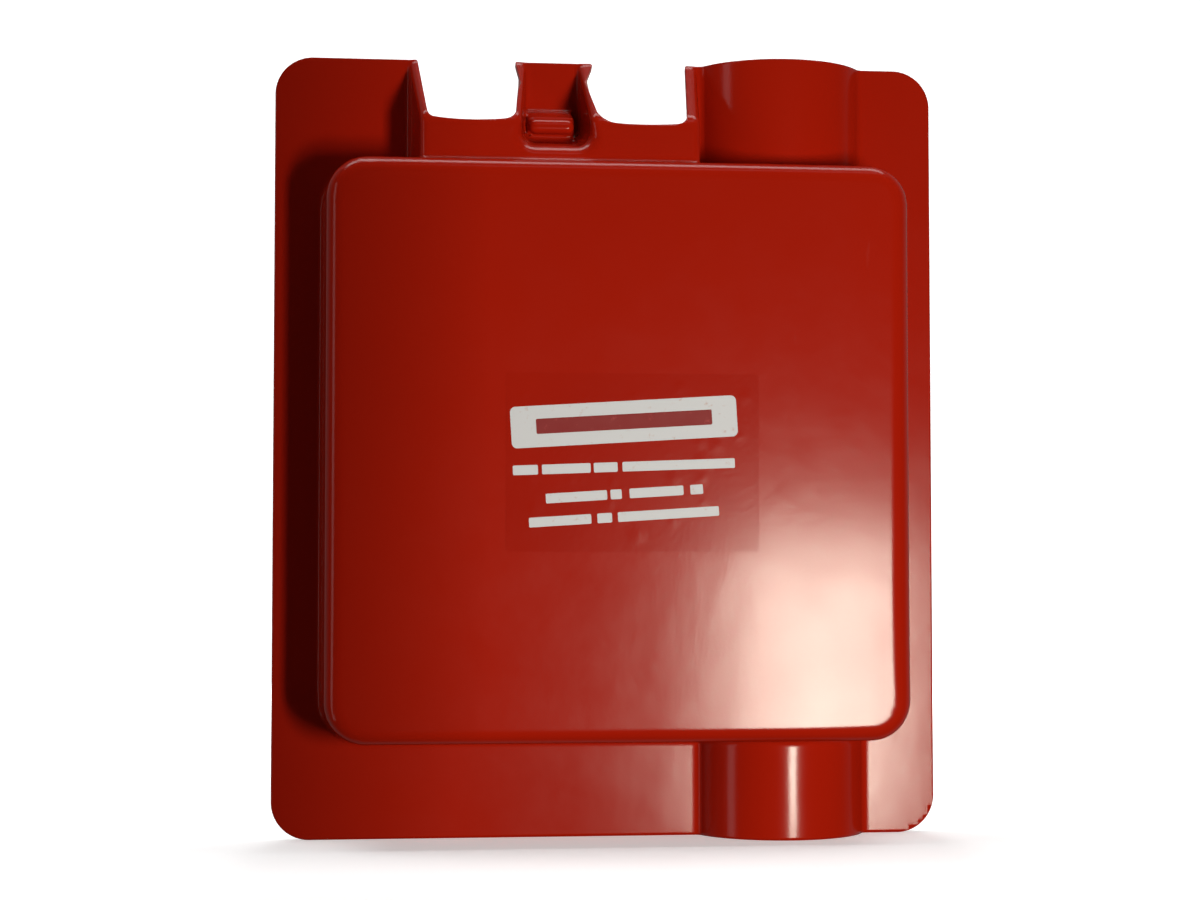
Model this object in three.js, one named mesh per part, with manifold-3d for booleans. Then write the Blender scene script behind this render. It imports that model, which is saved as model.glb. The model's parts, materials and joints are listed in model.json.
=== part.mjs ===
// Emergency release point for a pneumatically held door.
// A red thermoformed cover hides a three-way ball valve with a sealed lever, screwed to a mounting plate.
//
// The parts are drawn as seen from the front: x to the right, y up, z from the wall towards the viewer.
// The exported group turns that drawing upright, so +Z is up and the front faces -Y. Units are millimetres.
// The origin is on the wall plane, behind the centre of the cover's flange.
import * as THREE from "three";
import { mergeVertices } from "three/addons/utils/BufferGeometryUtils.js";
import Module from "manifold-3d";

const wasm = await Module();
wasm.setup();

// ---------------------------------------------------------------- driving dimensions

const GAP = 0.3; // clearance between pieces that rest on or sit in each other
const THROUGH = 5; // how far a cutting tool reaches past the face it opens

const SHEET = 2.5; // thickness of the formed cover
const FLANGE = { width: 300, height: 350, corner: 17 };
const FLANGE_BACK = 3; // the fastener pads hold the flange this far off the wall
const FLANGE_FRONT = FLANGE_BACK + SHEET;

// The raised box: its outline where the front edge starts to round, and its height over the flange.
const HOUSING = { x: 1.7, y: -3.2, width: 257, height: 254.4, corner: 18, rise: 45, round: 7.5, draft: 0.05 };
const COVER_FRONT = FLANGE_FRONT + HOUSING.rise;

// The lower step above the box: level up to rampStart, then sloping down to the flange's top edge.
const STEP = { rise: 37, bottom: 60, rampStart: 143, left: -86, right: 37, draft: 0.11 };
// The valley between the two hose notches; its walls lean outwards as they rise.
const VALLEY = { left: -37.4, right: -13.2, leanLeft: 0.13, leanRight: 0.06, rim: 130, foot: 139.5 };
// The raised block in the valley, with a groove between it and the valley's lower wall.
const VALLEY_BLOCK = { left: -37, right: -17, rise: 19, near: 139.5, top: 145, foot: 152.5, groove: 14 };
// The half-round channels that clear the door post, above and below the box; the lower one is a little wider.
const CHANNEL_LENGTH = 75;
const UPPER_CHANNEL = { x: 80.2, radius: 42, rise: 21 };
const LOWER_CHANNEL = { x: 79.3, radius: 40, rise: 26 };

const LABEL = { x: 6, y: -8.8, width: 111, height: 77.6, corner: 3, thickness: 0.2, lift: 0.05 };
const PAD = { thickness: 1.3, corner: 3 };
const PADS = [
  { name: "top_left", x: -120, y: 151, width: 40, height: 22 },
  { name: "top_right", x: 137, y: 148, width: 18, height: 38 },
  { name: "bottom_left", x: -120, y: -156, width: 40, height: 22 },
  { name: "bottom_right", x: 137, y: -151, width: 18, height: 32 },
];

const PLATE = { left: -112, right: 34, bottom: -96, top: 98, sheet: 2, corner: 8, lip: 12, lipInset: 14 };
const PLATE_HOLE = { inset: 12, radius: 3.25 };

const VALVE = { x: -26.5, y: 30, width: 40, height: 34, depth: 24, edge: 1.2 };
const VALVE_BACK = PLATE.sheet + GAP;
const VALVE_FRONT = VALVE_BACK + VALVE.depth;
const PORT_Z = VALVE_BACK + VALVE.depth / 2; // height of the port centre line over the wall
const CAVITY_RADIUS = 7;
const BALL = { radius: 6.5, bore: 3, slotWidth: 3.6, slotLength: 9, slotDepth: 2.4 };
const SEAT = { start: 4.6, end: 9, bore: 3.4 };
const VALVE_SCREW = { radius: 2.3, hole: 2.6, head: 4.4, headHeight: 3, socket: 1.6, across: 14.5, up: 11.5 };

const GLAND = { pocket: 6, depth: 4, hex: 17, height: 4.2, bore: 4.4 };
const STEM = { radius: 4, square: 6, thread: 3, squareEnd: 35.2, end: 43 };
const LEVER = { z: 31.4, thickness: 3, hub: 11, width: 16, length: 86 };
const GRIP = { start: 50, end: 89, width: 22, thickness: 10, corner: 4 };
const LEVER_NUT = { flats: 10, height: 5, washer: 6.5, washerThickness: 1.1 };
const STOP_PIN = { radius: 2, play: 0.4, reach: 12.5, embed: 6 };

const ELBOW = { offset: 38.5, radius: 7, socket: 8, top: 22, thread: 6.7, hex: 17, hexStart: 20.3, hexWidth: 5 };
const SOCKET_BORE = { radius: 6.1, depth: 14 };
const COLLAR = { inner: 4.1, outer: 5.7, flange: 6.8, flangeHeight: 1.4, stand: 1.6, length: 8 };
const TUBE_SEAL = { radius: 5, wire: 0.85, down: 10.5 };
const SILENCER = { thread: 4.6, radius: 6.2, threadLength: 7, length: 19, hex: 13, hexHeight: 4 };

const SEAL = { y: -12, wire: 1, leverHoleX: 5, hole: 2.3, neck: 0.35 };
const LUG = { x: -8, bottom: -22, top: -3, reach: 34, holeZ: 28 };
const SEAL_TAG = { thickness: 2, width: 12, height: 20 };

// ---------------------------------------------------------------- materials

function finish(color, roughness, metalness = 0) {
  return new THREE.MeshStandardMaterial({ color, roughness, metalness });
}

const MATERIALS = {
  redSheet: () => finish(0x9c1a10, 0.22),
  film: () => finish(0xa41c12, 0.35),
  pad: () => finish(0x1c1c1e, 0.9),
  zincSteel: () => finish(0xb9bcc0, 0.38, 1),
  aluminium: () => finish(0xa9acb0, 0.45, 1),
  brass: () => finish(0xc29a52, 0.32, 1),
  bronze: () => finish(0x9a7443, 0.75, 0.8),
  ptfe: () => finish(0xece9e2, 0.55),
  rubber: () => finish(0x18181a, 0.8),
  bluePlastic: () => finish(0x1f4fa0, 0.4),
  redGrip: () => finish(0xb3150f, 0.55),
  sealPlastic: () => finish(0xe3b51e, 0.4),
};

// ---------------------------------------------------------------- solids and placing

// A three.js geometry as a closed solid that can be cut and joined.
function solid(geometry) {
  const bare = geometry.clone();
  bare.deleteAttribute("normal");
  bare.deleteAttribute("uv");
  const merged = mergeVertices(bare, 1e-4);
  return new wasm.Manifold(
    new wasm.Mesh({
      numProp: 3,
      vertProperties: merged.attributes.position.array,
      triVerts: new Uint32Array(merged.index.array),
    }),
  );
}

function geometryOf(body) {
  const mesh = body.getMesh();
  const geometry = new THREE.BufferGeometry();
  geometry.setAttribute("position", new THREE.BufferAttribute(new Float32Array(mesh.vertProperties), 3));
  geometry.setIndex(new THREE.BufferAttribute(new Uint32Array(mesh.triVerts), 1));
  geometry.computeVertexNormals();
  return geometry;
}

const joined = (...bodies) => bodies.reduce((whole, body) => whole.add(body));
const cut = (body, ...tools) => tools.reduce((rest, tool) => rest.subtract(tool), body);

function meshOf(name, body, material) {
  const mesh = new THREE.Mesh(geometryOf(body), material());
  mesh.name = name;
  return mesh;
}

// A block between two corners.
function block([x0, y0, z0], [x1, y1, z1]) {
  const box = new THREE.BoxGeometry(x1 - x0, y1 - y0, z1 - z0);
  return solid(box.translate((x0 + x1) / 2, (y0 + y1) / 2, (z0 + z1) / 2));
}

const AXIS_TURNS = {
  x: new THREE.Matrix4().makeRotationZ(-Math.PI / 2),
  y: new THREE.Matrix4(),
  z: new THREE.Matrix4().makeRotationX(Math.PI / 2),
};

// A rod along an axis, from one station to another, centred on the point given by the other two coordinates.
function rod(axis, radius, from, to, [x, y, z], sides = 24) {
  const cylinder = new THREE.CylinderGeometry(radius, radius, to - from, sides);
  cylinder.applyMatrix4(AXIS_TURNS[axis]);
  const middle = (from + to) / 2;
  const centre = { x: [middle, y, z], y: [x, middle, z], z: [x, y, middle] }[axis];
  return solid(cylinder.translate(...centre));
}

// A six-sided rod, given its width over the flats.
function hexagon(axis, flats, from, to, centre) {
  return rod(axis, flats / Math.sqrt(3), from, to, centre, 6);
}

// A solid turned about an axis through a centre; the profile's points are [radius, station along the axis].
function turned(axis, points, centre, sides = 24) {
  const profile = points.map(([radius, along]) => new THREE.Vector2(radius, along));
  const lathe = new THREE.LatheGeometry(profile, sides);
  lathe.applyMatrix4(AXIS_TURNS[axis]);
  return solid(lathe.translate(...centre));
}

// The closed profile of a plain ring.
function ringProfile(inner, outer, from, to) {
  return [[inner, from], [outer, from], [outer, to], [inner, to], [inner, from]];
}

function roundedRectangle(x, y, width, height, corner) {
  const shape = new THREE.Shape();
  const right = width / 2 - corner;
  const top = height / 2 - corner;
  shape.absarc(x + right, y + top, corner, 0, Math.PI / 2);
  shape.absarc(x - right, y + top, corner, Math.PI / 2, Math.PI);
  shape.absarc(x - right, y - top, corner, Math.PI, Math.PI * 1.5);
  shape.absarc(x + right, y - top, corner, Math.PI * 1.5, Math.PI * 2);
  shape.closePath();
  return shape;
}

// A flat outline given thickness between two heights over the wall.
function slab(shape, from, to, curveSegments = 5) {
  const extruded = new THREE.ExtrudeGeometry(shape, { depth: to - from, bevelEnabled: false, curveSegments });
  return solid(extruded.translate(0, 0, from));
}

// ---------------------------------------------------------------- cover

// The raised box as a solid plug, shrunk by inset on every side; its foot runs back past the wall.
function housingPlug(inset) {
  const { x, y, width, height, corner, round, draft } = HOUSING;
  const edge = round - inset;
  const top = COVER_FRONT - inset;
  const shape = roundedRectangle(x, y, width - 2 * round, height - 2 * round, corner - round);
  const extruded = new THREE.ExtrudeGeometry(shape, {
    depth: top - edge + THROUGH,
    bevelThickness: edge,
    bevelSize: edge,
    bevelSegments: 4,
    curveSegments: 5,
  });
  extruded.translate(0, 0, -THROUGH);
  const points = extruded.attributes.position;
  for (let i = 0; i < points.count; i++) {
    const spread = Math.max(0, top - edge - points.getZ(i)) * draft;
    points.setX(i, x + (points.getX(i) - x) * (1 + (2 * spread) / width));
    points.setY(i, y + (points.getY(i) - y) * (1 + (2 * spread) / height));
  }
  return solid(extruded);
}

// A wedge with a side profile of [y, z] points, between a left and a right wall that may lean with height.
function leaningWedge(profile, leftAt, rightAt) {
  const shape = new THREE.Shape(profile.map(([y, z]) => new THREE.Vector2(y, z)));
  const extruded = new THREE.ExtrudeGeometry(shape, { depth: 1, bevelEnabled: false });
  const yzx = new THREE.Matrix4().makeBasis(
    new THREE.Vector3(0, 1, 0),
    new THREE.Vector3(0, 0, 1),
    new THREE.Vector3(1, 0, 0),
  );
  extruded.applyMatrix4(yzx);
  const points = extruded.attributes.position;
  for (let i = 0; i < points.count; i++) {
    const z = points.getZ(i);
    points.setX(i, points.getX(i) < 0.5 ? leftAt(z) : rightAt(z));
  }
  return solid(extruded);
}

// The lower step above the box, with its ramp down to the flange's top edge.
function stepPlug(inset) {
  const { rise, bottom, rampStart, left, right, draft } = STEP;
  const level = FLANGE_FRONT + rise;
  const edge = FLANGE.height / 2;
  const profile = [
    [bottom, -THROUGH],
    [edge - inset, -THROUGH],
    [edge - inset, FLANGE_FRONT - inset],
    [rampStart - inset / 2, level - inset],
    [bottom, level - inset],
  ];
  const spread = (z) => (level - z) * draft;
  return leaningWedge(profile, (z) => left - spread(z) + inset, (z) => right + spread(z) - inset);
}

// The space of the valley between the notches, grown by the sheet's thickness for its underside.
function valleySpace(grow) {
  const { left, right, leanLeft, leanRight, rim, foot } = VALLEY;
  const above = COVER_FRONT;
  const floor = grow ? -THROUGH : FLANGE_FRONT;
  const profile = [
    [foot - grow, floor],
    [FLANGE.height / 2 + THROUGH, floor],
    [FLANGE.height / 2 + THROUGH, above],
    [rim - grow, above],
    [rim - grow, FLANGE_FRONT + STEP.rise],
  ];
  const leftAt = (z) => left - leanLeft * (z - FLANGE_FRONT) - grow;
  const rightAt = (z) => right + leanRight * (z - FLANGE_FRONT) + grow;
  return leaningWedge(profile, leftAt, rightAt);
}

// The small raised block at the lower end of the valley, and the floor of the groove behind it.
function valleyBlock(inset) {
  const { left, right, rise, near, top, foot, groove } = VALLEY_BLOCK;
  const level = FLANGE_FRONT + rise - inset;
  const grooveFloor = FLANGE_FRONT + groove - inset;
  const back = inset ? -THROUGH : FLANGE_BACK;
  const profile = [
    [VALLEY.rim - 2 * SHEET, back],
    [foot - inset, back],
    [foot - inset, FLANGE_FRONT - inset],
    [top - inset, level],
    [near + inset, level],
    [near + inset, grooveFloor],
    [VALLEY.rim - 2 * SHEET, grooveFloor],
  ];
  return leaningWedge(profile, () => left + inset, () => right - inset);
}

// A half-round channel; side is +1 above the box and -1 below it.
function channelPlug({ x, radius, rise }, side, inset) {
  const z = FLANGE_FRONT + rise - radius;
  const outer = side * (FLANGE.height / 2 + (inset ? THROUGH : 0));
  const inner = outer - side * CHANNEL_LENGTH;
  return rod("y", radius - inset, Math.min(inner, outer), Math.max(inner, outer), [x, 0, z], 64);
}

function channelPlugs(inset) {
  return joined(channelPlug(UPPER_CHANNEL, 1, inset), channelPlug(LOWER_CHANNEL, -1, inset));
}

// The two U-shaped notches for the hoses, trimmed through the step after forming.
function leftNotch() {
  const beyond = FLANGE.height / 2 + THROUGH;
  const shape = new THREE.Shape();
  shape.moveTo(-87, beyond);
  shape.lineTo(-83.2, 146);
  shape.quadraticCurveTo(-82.8, 142.8, -79.5, 142.5);
  shape.quadraticCurveTo(-66, 140.6, -49.5, 142.2);
  shape.quadraticCurveTo(-45, 142.8, -43.8, 147);
  shape.quadraticCurveTo(-43, 157, -40.6, 162.6);
  shape.lineTo(-42.8, beyond);
  return shape;
}

function rightNotch() {
  const beyond = FLANGE.height / 2 + THROUGH;
  const shape = new THREE.Shape();
  shape.moveTo(-4.6, beyond);
  shape.lineTo(-11.4, 163.9);
  shape.lineTo(-8.2, 146.5);
  shape.quadraticCurveTo(-6, 142.2, -0.5, 141.2);
  shape.quadraticCurveTo(12.6, 140.2, 27, 141.3);
  shape.quadraticCurveTo(31.2, 141.8, 31.8, 146);
  shape.lineTo(36.6, beyond);
  return shape;
}

function coverShell() {
  const outline = roundedRectangle(0, 0, FLANGE.width, FLANGE.height, FLANGE.corner);
  const flange = slab(outline, FLANGE_BACK, FLANGE_FRONT);
  const envelope = slab(outline, FLANGE_BACK, COVER_FRONT + THROUGH);
  const step = stepPlug(0).subtract(valleySpace(0)).add(valleyBlock(0));
  const outside = joined(flange, housingPlug(0), step, channelPlugs(0)).intersect(envelope);
  const stepHollow = stepPlug(SHEET).subtract(valleySpace(SHEET)).add(valleyBlock(SHEET));
  const hollow = joined(housingPlug(SHEET), stepHollow, channelPlugs(SHEET));
  const notches = [leftNotch(), rightNotch()].map((shape) => slab(shape, -THROUGH, COVER_FRONT, 4));
  return cut(outside, hollow, ...notches);
}

function labelFilm() {
  const { x, y, width, height, corner, thickness, lift } = LABEL;
  const back = COVER_FRONT + lift;
  return slab(roundedRectangle(x, y, width, height, corner), back, back + thickness, 3);
}

function fastenerPad({ x, y, width, height }, from) {
  return slab(roundedRectangle(x, y, width, height, PAD.corner), from, from + PAD.thickness, 3);
}

function buildCover() {
  const cover = new THREE.Group();
  cover.add(meshOf("cover_shell", coverShell(), MATERIALS.redSheet));
  cover.add(meshOf("label_film", labelFilm(), MATERIALS.film));
  for (const pad of PADS) {
    const body = fastenerPad(pad, FLANGE_BACK - PAD.thickness - LABEL.lift);
    cover.add(meshOf("cover_pad_" + pad.name, body, MATERIALS.pad));
  }
  return cover;
}

// ---------------------------------------------------------------- mounting plate

// Where the valve's two screws stand, on a diagonal of its front face.
const VALVE_SCREW_PLACES = [
  { name: "valve_screw_upper", x: VALVE.x + VALVE_SCREW.across, y: VALVE.y + VALVE_SCREW.up },
  { name: "valve_screw_lower", x: VALVE.x - VALVE_SCREW.across, y: VALVE.y - VALVE_SCREW.up },
];

// A lug bent up from the plate beside the lever, with the eye that the tamper seal passes through.
function sealLug() {
  const { x, bottom, top, reach, holeZ } = LUG;
  const plate = block([x, bottom, 0], [x + PLATE.sheet, top, reach]);
  return cut(plate, rod("x", SEAL.hole, x - THROUGH, x + PLATE.sheet + THROUGH, [0, SEAL.y, holeZ], 16));
}

function mountingPlate() {
  const { left, right, bottom, top, sheet, corner, lip, lipInset } = PLATE;
  const outline = roundedRectangle((left + right) / 2, (bottom + top) / 2, right - left, top - bottom, corner);
  const lips = [left, right - sheet].map((x) => block([x, bottom + lipInset, 0], [x + sheet, top - lipInset, lip]));
  const corners = [left, right].flatMap((x) => [bottom, top].map((y) => [x, y]));
  const wallHoles = corners.map(([x, y]) => {
    const inward = [x - Math.sign(x - VALVE.x) * PLATE_HOLE.inset, y - Math.sign(y) * PLATE_HOLE.inset, 0];
    return rod("z", PLATE_HOLE.radius, -THROUGH, THROUGH, inward);
  });
  const screwHoles = VALVE_SCREW_PLACES.map(({ x, y }) => rod("z", VALVE_SCREW.hole, -THROUGH, THROUGH, [x, y, 0]));
  return cut(joined(slab(outline, 0, sheet), ...lips, sealLug()), ...wallHoles, ...screwHoles);
}

// ---------------------------------------------------------------- valve

const VALVE_CENTRE = [VALVE.x, VALVE.y, PORT_Z];

function valveBody() {
  const { x, y, width, height, depth, edge } = VALVE;
  const shape = roundedRectangle(x, y, width - 2 * edge, height - 2 * edge, 2);
  const cast = new THREE.ExtrudeGeometry(shape, {
    depth: depth - 2 * edge,
    bevelThickness: edge,
    bevelSize: edge,
    bevelSegments: 1,
    curveSegments: 3,
  });
  cast.translate(0, 0, VALVE_BACK + edge);
  const portBore = rod("x", CAVITY_RADIUS, x - width, x + width, VALVE_CENTRE, 32);
  const ventBore = rod("y", SILENCER.thread + GAP, y - height, y, VALVE_CENTRE);
  const glandPocket = rod("z", GLAND.pocket, VALVE_FRONT - GLAND.depth, VALVE_FRONT + THROUGH, VALVE_CENTRE);
  const stemBore = rod("z", STEM.radius + GAP, PORT_Z, VALVE_FRONT, VALVE_CENTRE);
  const screwHoles = VALVE_SCREW_PLACES.map((place) =>
    rod("z", VALVE_SCREW.hole, -THROUGH, VALVE_FRONT + THROUGH, [place.x, place.y, 0]),
  );
  const pinHoleEnd = VALVE_FRONT - STOP_PIN.embed - GAP;
  const pinHoles = STOP_PIN_PLACES.map((place) =>
    rod("z", STOP_PIN.radius + GAP, pinHoleEnd, VALVE_FRONT + THROUGH, [place.x, place.y, 0], 16),
  );
  return cut(solid(cast), portBore, ventBore, glandPocket, stemBore, ...screwHoles, ...pinHoles);
}

// A soft ring that cups the ball; side is -1 for the inlet and +1 for the outlet.
function seatRing(side) {
  const stations = [side * SEAT.start, side * SEAT.end].sort((a, b) => a - b);
  const profile = ringProfile(SEAT.bore, CAVITY_RADIUS - GAP, ...stations);
  const ring = turned("x", profile, VALVE_CENTRE);
  const cup = solid(new THREE.SphereGeometry(BALL.radius + GAP, 24, 16).translate(...VALVE_CENTRE));
  return ring.subtract(cup);
}

// The ball has a straight bore and one side bore, so that a quarter turn vents the outlet.
function valveBall() {
  const [x, y, z] = VALVE_CENTRE;
  const ball = solid(new THREE.SphereGeometry(BALL.radius, 32, 20).translate(x, y, z));
  const straight = rod("x", BALL.bore, x - BALL.radius - 1, x + BALL.radius + 1, VALVE_CENTRE, 20);
  const side = rod("y", BALL.bore, y, y + BALL.radius + 1, VALVE_CENTRE, 20);
  const top = z + BALL.radius;
  const slot = block(
    [x - BALL.slotWidth / 2, y - BALL.slotLength, top - BALL.slotDepth],
    [x + BALL.slotWidth / 2, y + BALL.slotLength, top + 1],
  );
  return cut(ball, straight, side, slot);
}

function valveStem() {
  const [x, y, z] = VALVE_CENTRE;
  const shoulder = z + BALL.radius + GAP;
  const tongueHalf = BALL.slotWidth / 2 - GAP;
  const tongue = block(
    [x - tongueHalf, y - STEM.radius + 1, z + BALL.radius - BALL.slotDepth + GAP],
    [x + tongueHalf, y + STEM.radius - 1, shoulder + 1],
  );
  const shank = rod("z", STEM.radius, shoulder, LEVER.z - GAP, VALVE_CENTRE);
  const half = STEM.square / 2;
  const square = block([x - half, y - half, LEVER.z - 1], [x + half, y + half, STEM.squareEnd - 1]);
  const thread = rod("z", STEM.thread, STEM.squareEnd - 2, STEM.end, VALVE_CENTRE, 20);
  return joined(tongue, shank, square, thread);
}

function packingRing() {
  const from = VALVE_FRONT - GLAND.depth + GAP - PORT_Z;
  return turned("z", ringProfile(GLAND.bore, GLAND.pocket - GAP, from, from + 1), VALVE_CENTRE);
}

function glandNut() {
  const head = hexagon("z", GLAND.hex, VALVE_FRONT + GAP, VALVE_FRONT + GAP + GLAND.height, VALVE_CENTRE);
  const shank = rod("z", GLAND.pocket - GAP, VALVE_FRONT - GLAND.depth + 1 + 2 * GAP, VALVE_FRONT + 1, VALVE_CENTRE);
  const bore = rod("z", GLAND.bore, PORT_Z, LEVER.z + THROUGH, VALVE_CENTRE);
  return joined(head, shank).subtract(bore);
}

function valveScrew({ x, y }) {
  const seat = VALVE_FRONT + GAP;
  const shank = rod("z", VALVE_SCREW.radius, GAP, seat + 1, [x, y, 0], 20);
  const head = rod("z", VALVE_SCREW.head, seat, seat + VALVE_SCREW.headHeight, [x, y, 0]);
  const socket = hexagon("z", 2 * VALVE_SCREW.socket, seat + 1, seat + THROUGH, [x, y, 0]);
  return cut(joined(shank, head), socket);
}

// The lever rests against one pin and meets the other after a quarter turn.
const STOP_OFFSET = LEVER.width / 2 + STOP_PIN.radius + STOP_PIN.play;
const STOP_PIN_PLACES = [
  { name: "stop_pin_closed", x: VALVE.x + STOP_OFFSET, y: VALVE.y - STOP_PIN.reach },
  { name: "stop_pin_open", x: VALVE.x - STOP_PIN.reach, y: VALVE.y + STOP_OFFSET },
];

function stopPin({ x, y }) {
  return rod("z", STOP_PIN.radius, VALVE_FRONT - STOP_PIN.embed, LEVER.z + LEVER.thickness, [x, y, 0], 16);
}

// An elbow fitting: threaded into the valve, with a push-in socket that faces up.
function elbow(side) {
  const { offset, radius, socket, top, thread, hex, hexStart, hexWidth } = ELBOW;
  const [x, y, z] = VALVE_CENTRE;
  const along = (a, b, size, make) => {
    const [from, to] = [x + side * a, x + side * b].sort((p, q) => p - q);
    return make("x", size, from, to, VALVE_CENTRE);
  };
  const corner = [x + side * offset, y, z];
  const knuckle = solid(new THREE.SphereGeometry(radius, 24, 16).translate(...corner));
  const outside = joined(
    along(SEAT.end + GAP, offset, thread, rod),
    along(hexStart, hexStart + hexWidth, hex, hexagon),
    along(hexStart + 1, offset, radius, rod),
    knuckle,
    rod("y", radius, y, y + top, corner),
    rod("y", socket, y + top - SOCKET_BORE.depth - 2, y + top, corner, 32),
  );
  const throat = along(0, offset, BALL.bore, rod);
  const riser = rod("y", BALL.bore, y, y + top, corner);
  const bend = solid(new THREE.SphereGeometry(BALL.bore, 16, 12).translate(...corner));
  const socketBore = rod("y", SOCKET_BORE.radius, y + top - SOCKET_BORE.depth, y + top + THROUGH, corner, 32);
  return cut(outside, joined(throat, riser, bend), socketBore);
}

const socketMouth = (side) => [VALVE.x + side * ELBOW.offset, VALVE.y + ELBOW.top, PORT_Z];

// The sliding collar that frees the hose when it is pressed into the socket.
function releaseCollar(side) {
  const { inner, outer, flange, flangeHeight, stand, length } = COLLAR;
  const profile = [
    [inner, -length], [outer, -length], [outer, stand],
    [flange, stand], [flange, stand + flangeHeight], [inner, stand + flangeHeight], [inner, -length],
  ];
  return turned("y", profile, socketMouth(side), 32);
}

function tubeSeal(side) {
  const { radius, wire, down } = TUBE_SEAL;
  const circle = [];
  const steps = 10;
  for (let i = 0; i <= steps; i++) {
    const angle = (2 * Math.PI * (i % steps)) / steps;
    circle.push([radius + wire * Math.cos(angle), wire * Math.sin(angle) - down]);
  }
  return turned("y", circle, socketMouth(side), 32);
}

// A sintered silencer screwed into the vent port.
function silencer() {
  const { thread, radius, threadLength, length, hex, hexHeight } = SILENCER;
  const face = VALVE.y - VALVE.height / 2;
  const [x, , z] = VALVE_CENTRE;
  const centre = [x, 0, z];
  const hexTop = face - GAP;
  const shank = rod("y", thread, hexTop - 1, hexTop + threadLength, centre);
  const collar = hexagon("y", hex, hexTop - hexHeight, hexTop, centre);
  const dome = [
    [0, -length], [radius * 0.45, -length], [radius * 0.8, 2 - length],
    [radius, 6 - length], [radius, 1 - hexHeight], [0, 1 - hexHeight],
  ];
  return joined(shank, collar, turned("y", dome, [x, hexTop, z]));
}

// ---------------------------------------------------------------- lever and tamper seal

function leverArm() {
  const { z, thickness, hub, width, length } = LEVER;
  const { x, y } = VALVE;
  const half = width / 2;
  const shape = new THREE.Shape();
  const meet = Math.asin(half / hub);
  shape.absarc(x, y, hub, -Math.PI / 2 + meet, Math.PI * 1.5 - meet);
  shape.lineTo(x - half, y - length + half);
  shape.absarc(x, y - length + half, half, Math.PI, Math.PI * 2);
  shape.closePath();
  const arm = slab(shape, z, z + thickness, 10);
  const eyeHalf = STEM.square / 2 + GAP;
  const eye = block([x - eyeHalf, y - eyeHalf, z - THROUGH], [x + eyeHalf, y + eyeHalf, z + THROUGH]);
  const sealHole = rod("z", SEAL.hole, z - THROUGH, z + THROUGH, [x + SEAL.leverHoleX, SEAL.y, 0], 16);
  return cut(arm, eye, sealHole);
}

// A moulded sleeve on the end of the lever, with a slot that the arm pushes into.
function leverGrip() {
  const { start, end, width, thickness, corner } = GRIP;
  const middle = VALVE.y - (start + end) / 2;
  const centreZ = LEVER.z + LEVER.thickness / 2;
  const edge = 2;
  const shape = roundedRectangle(VALVE.x, middle, width - 2 * edge, end - start - 2 * edge, corner);
  const moulded = new THREE.ExtrudeGeometry(shape, {
    depth: thickness - 2 * edge,
    bevelThickness: edge,
    bevelSize: edge,
    bevelSegments: 3,
    curveSegments: 4,
  });
  moulded.translate(0, 0, centreZ - thickness / 2 + edge);
  const half = LEVER.width / 2 + GAP;
  const slotHalf = LEVER.thickness / 2 + GAP;
  const slot = block(
    [VALVE.x - half, VALVE.y - LEVER.length - GAP, centreZ - slotHalf],
    [VALVE.x + half, VALVE.y - start + THROUGH, centreZ + slotHalf],
  );
  return solid(moulded).subtract(slot);
}

const NUT_SEAT = LEVER.z + LEVER.thickness + GAP;

function leverWasher() {
  const { washer, washerThickness } = LEVER_NUT;
  const bore = STEM.square / Math.SQRT2 + GAP;
  const ring = rod("z", washer, NUT_SEAT, NUT_SEAT + washerThickness, VALVE_CENTRE, 32);
  return ring.subtract(rod("z", bore, 0, STEM.end, VALVE_CENTRE, 32));
}

function leverNut() {
  const from = NUT_SEAT + LEVER_NUT.washerThickness + GAP;
  const nut = hexagon("z", LEVER_NUT.flats, from, from + LEVER_NUT.height, VALVE_CENTRE);
  return nut.subtract(rod("z", STEM.thread + GAP, 0, STEM.end + THROUGH, VALVE_CENTRE));
}

// A bent wire in the level plane of the seal; the points are [x, z].
function sealWire(points) {
  const path = new THREE.CatmullRomCurve3(points.map(([x, z]) => new THREE.Vector3(x, SEAL.y, z)));
  const section = new THREE.Shape().absarc(0, 0, SEAL.wire, 0, Math.PI * 2);
  return solid(new THREE.ExtrudeGeometry(section, { extrudePath: path, steps: 24, curveSegments: 5 }));
}

const SEAL_HOLE_X = VALVE.x + SEAL.leverHoleX;
const NECK_BACK = { x: -15.5, z: LUG.holeZ }; // the two thin necks where the seal breaks
const NECK_FRONT = { x: -12, z: 40 };

// The half of the seal that stays on the lug, with its blank tag.
function sealTag() {
  const outer = LUG.x + PLATE.sheet + 6;
  const wire = sealWire([
    [NECK_BACK.x + SEAL.neck, NECK_BACK.z],
    [LUG.x + 1, LUG.holeZ],
    [outer - 2.5, LUG.holeZ + 0.6],
    [outer, (LUG.holeZ + NECK_FRONT.z) / 2],
    [outer - 3.5, NECK_FRONT.z - 1],
    [NECK_FRONT.x + SEAL.neck, NECK_FRONT.z],
  ]);
  const { thickness, width, height } = SEAL_TAG;
  const z = (LUG.holeZ + NECK_FRONT.z) / 2;
  const tag = block(
    [outer - thickness / 2, SEAL.y - height, z - width / 2],
    [outer + thickness / 2, SEAL.y + 1.5, z + width / 2],
  );
  return joined(wire, tag);
}

// The half of the seal that passes through the lever and leaves with it.
function sealShackle() {
  const middle = LEVER.z + LEVER.thickness / 2;
  return sealWire([
    [NECK_BACK.x - SEAL.neck, NECK_BACK.z],
    [SEAL_HOLE_X + 1.6, NECK_BACK.z + 0.5],
    [SEAL_HOLE_X, middle],
    [SEAL_HOLE_X + 2, NECK_FRONT.z - 1.4],
    [NECK_FRONT.x - SEAL.neck, NECK_FRONT.z],
  ]);
}

// ---------------------------------------------------------------- assembly

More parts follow.
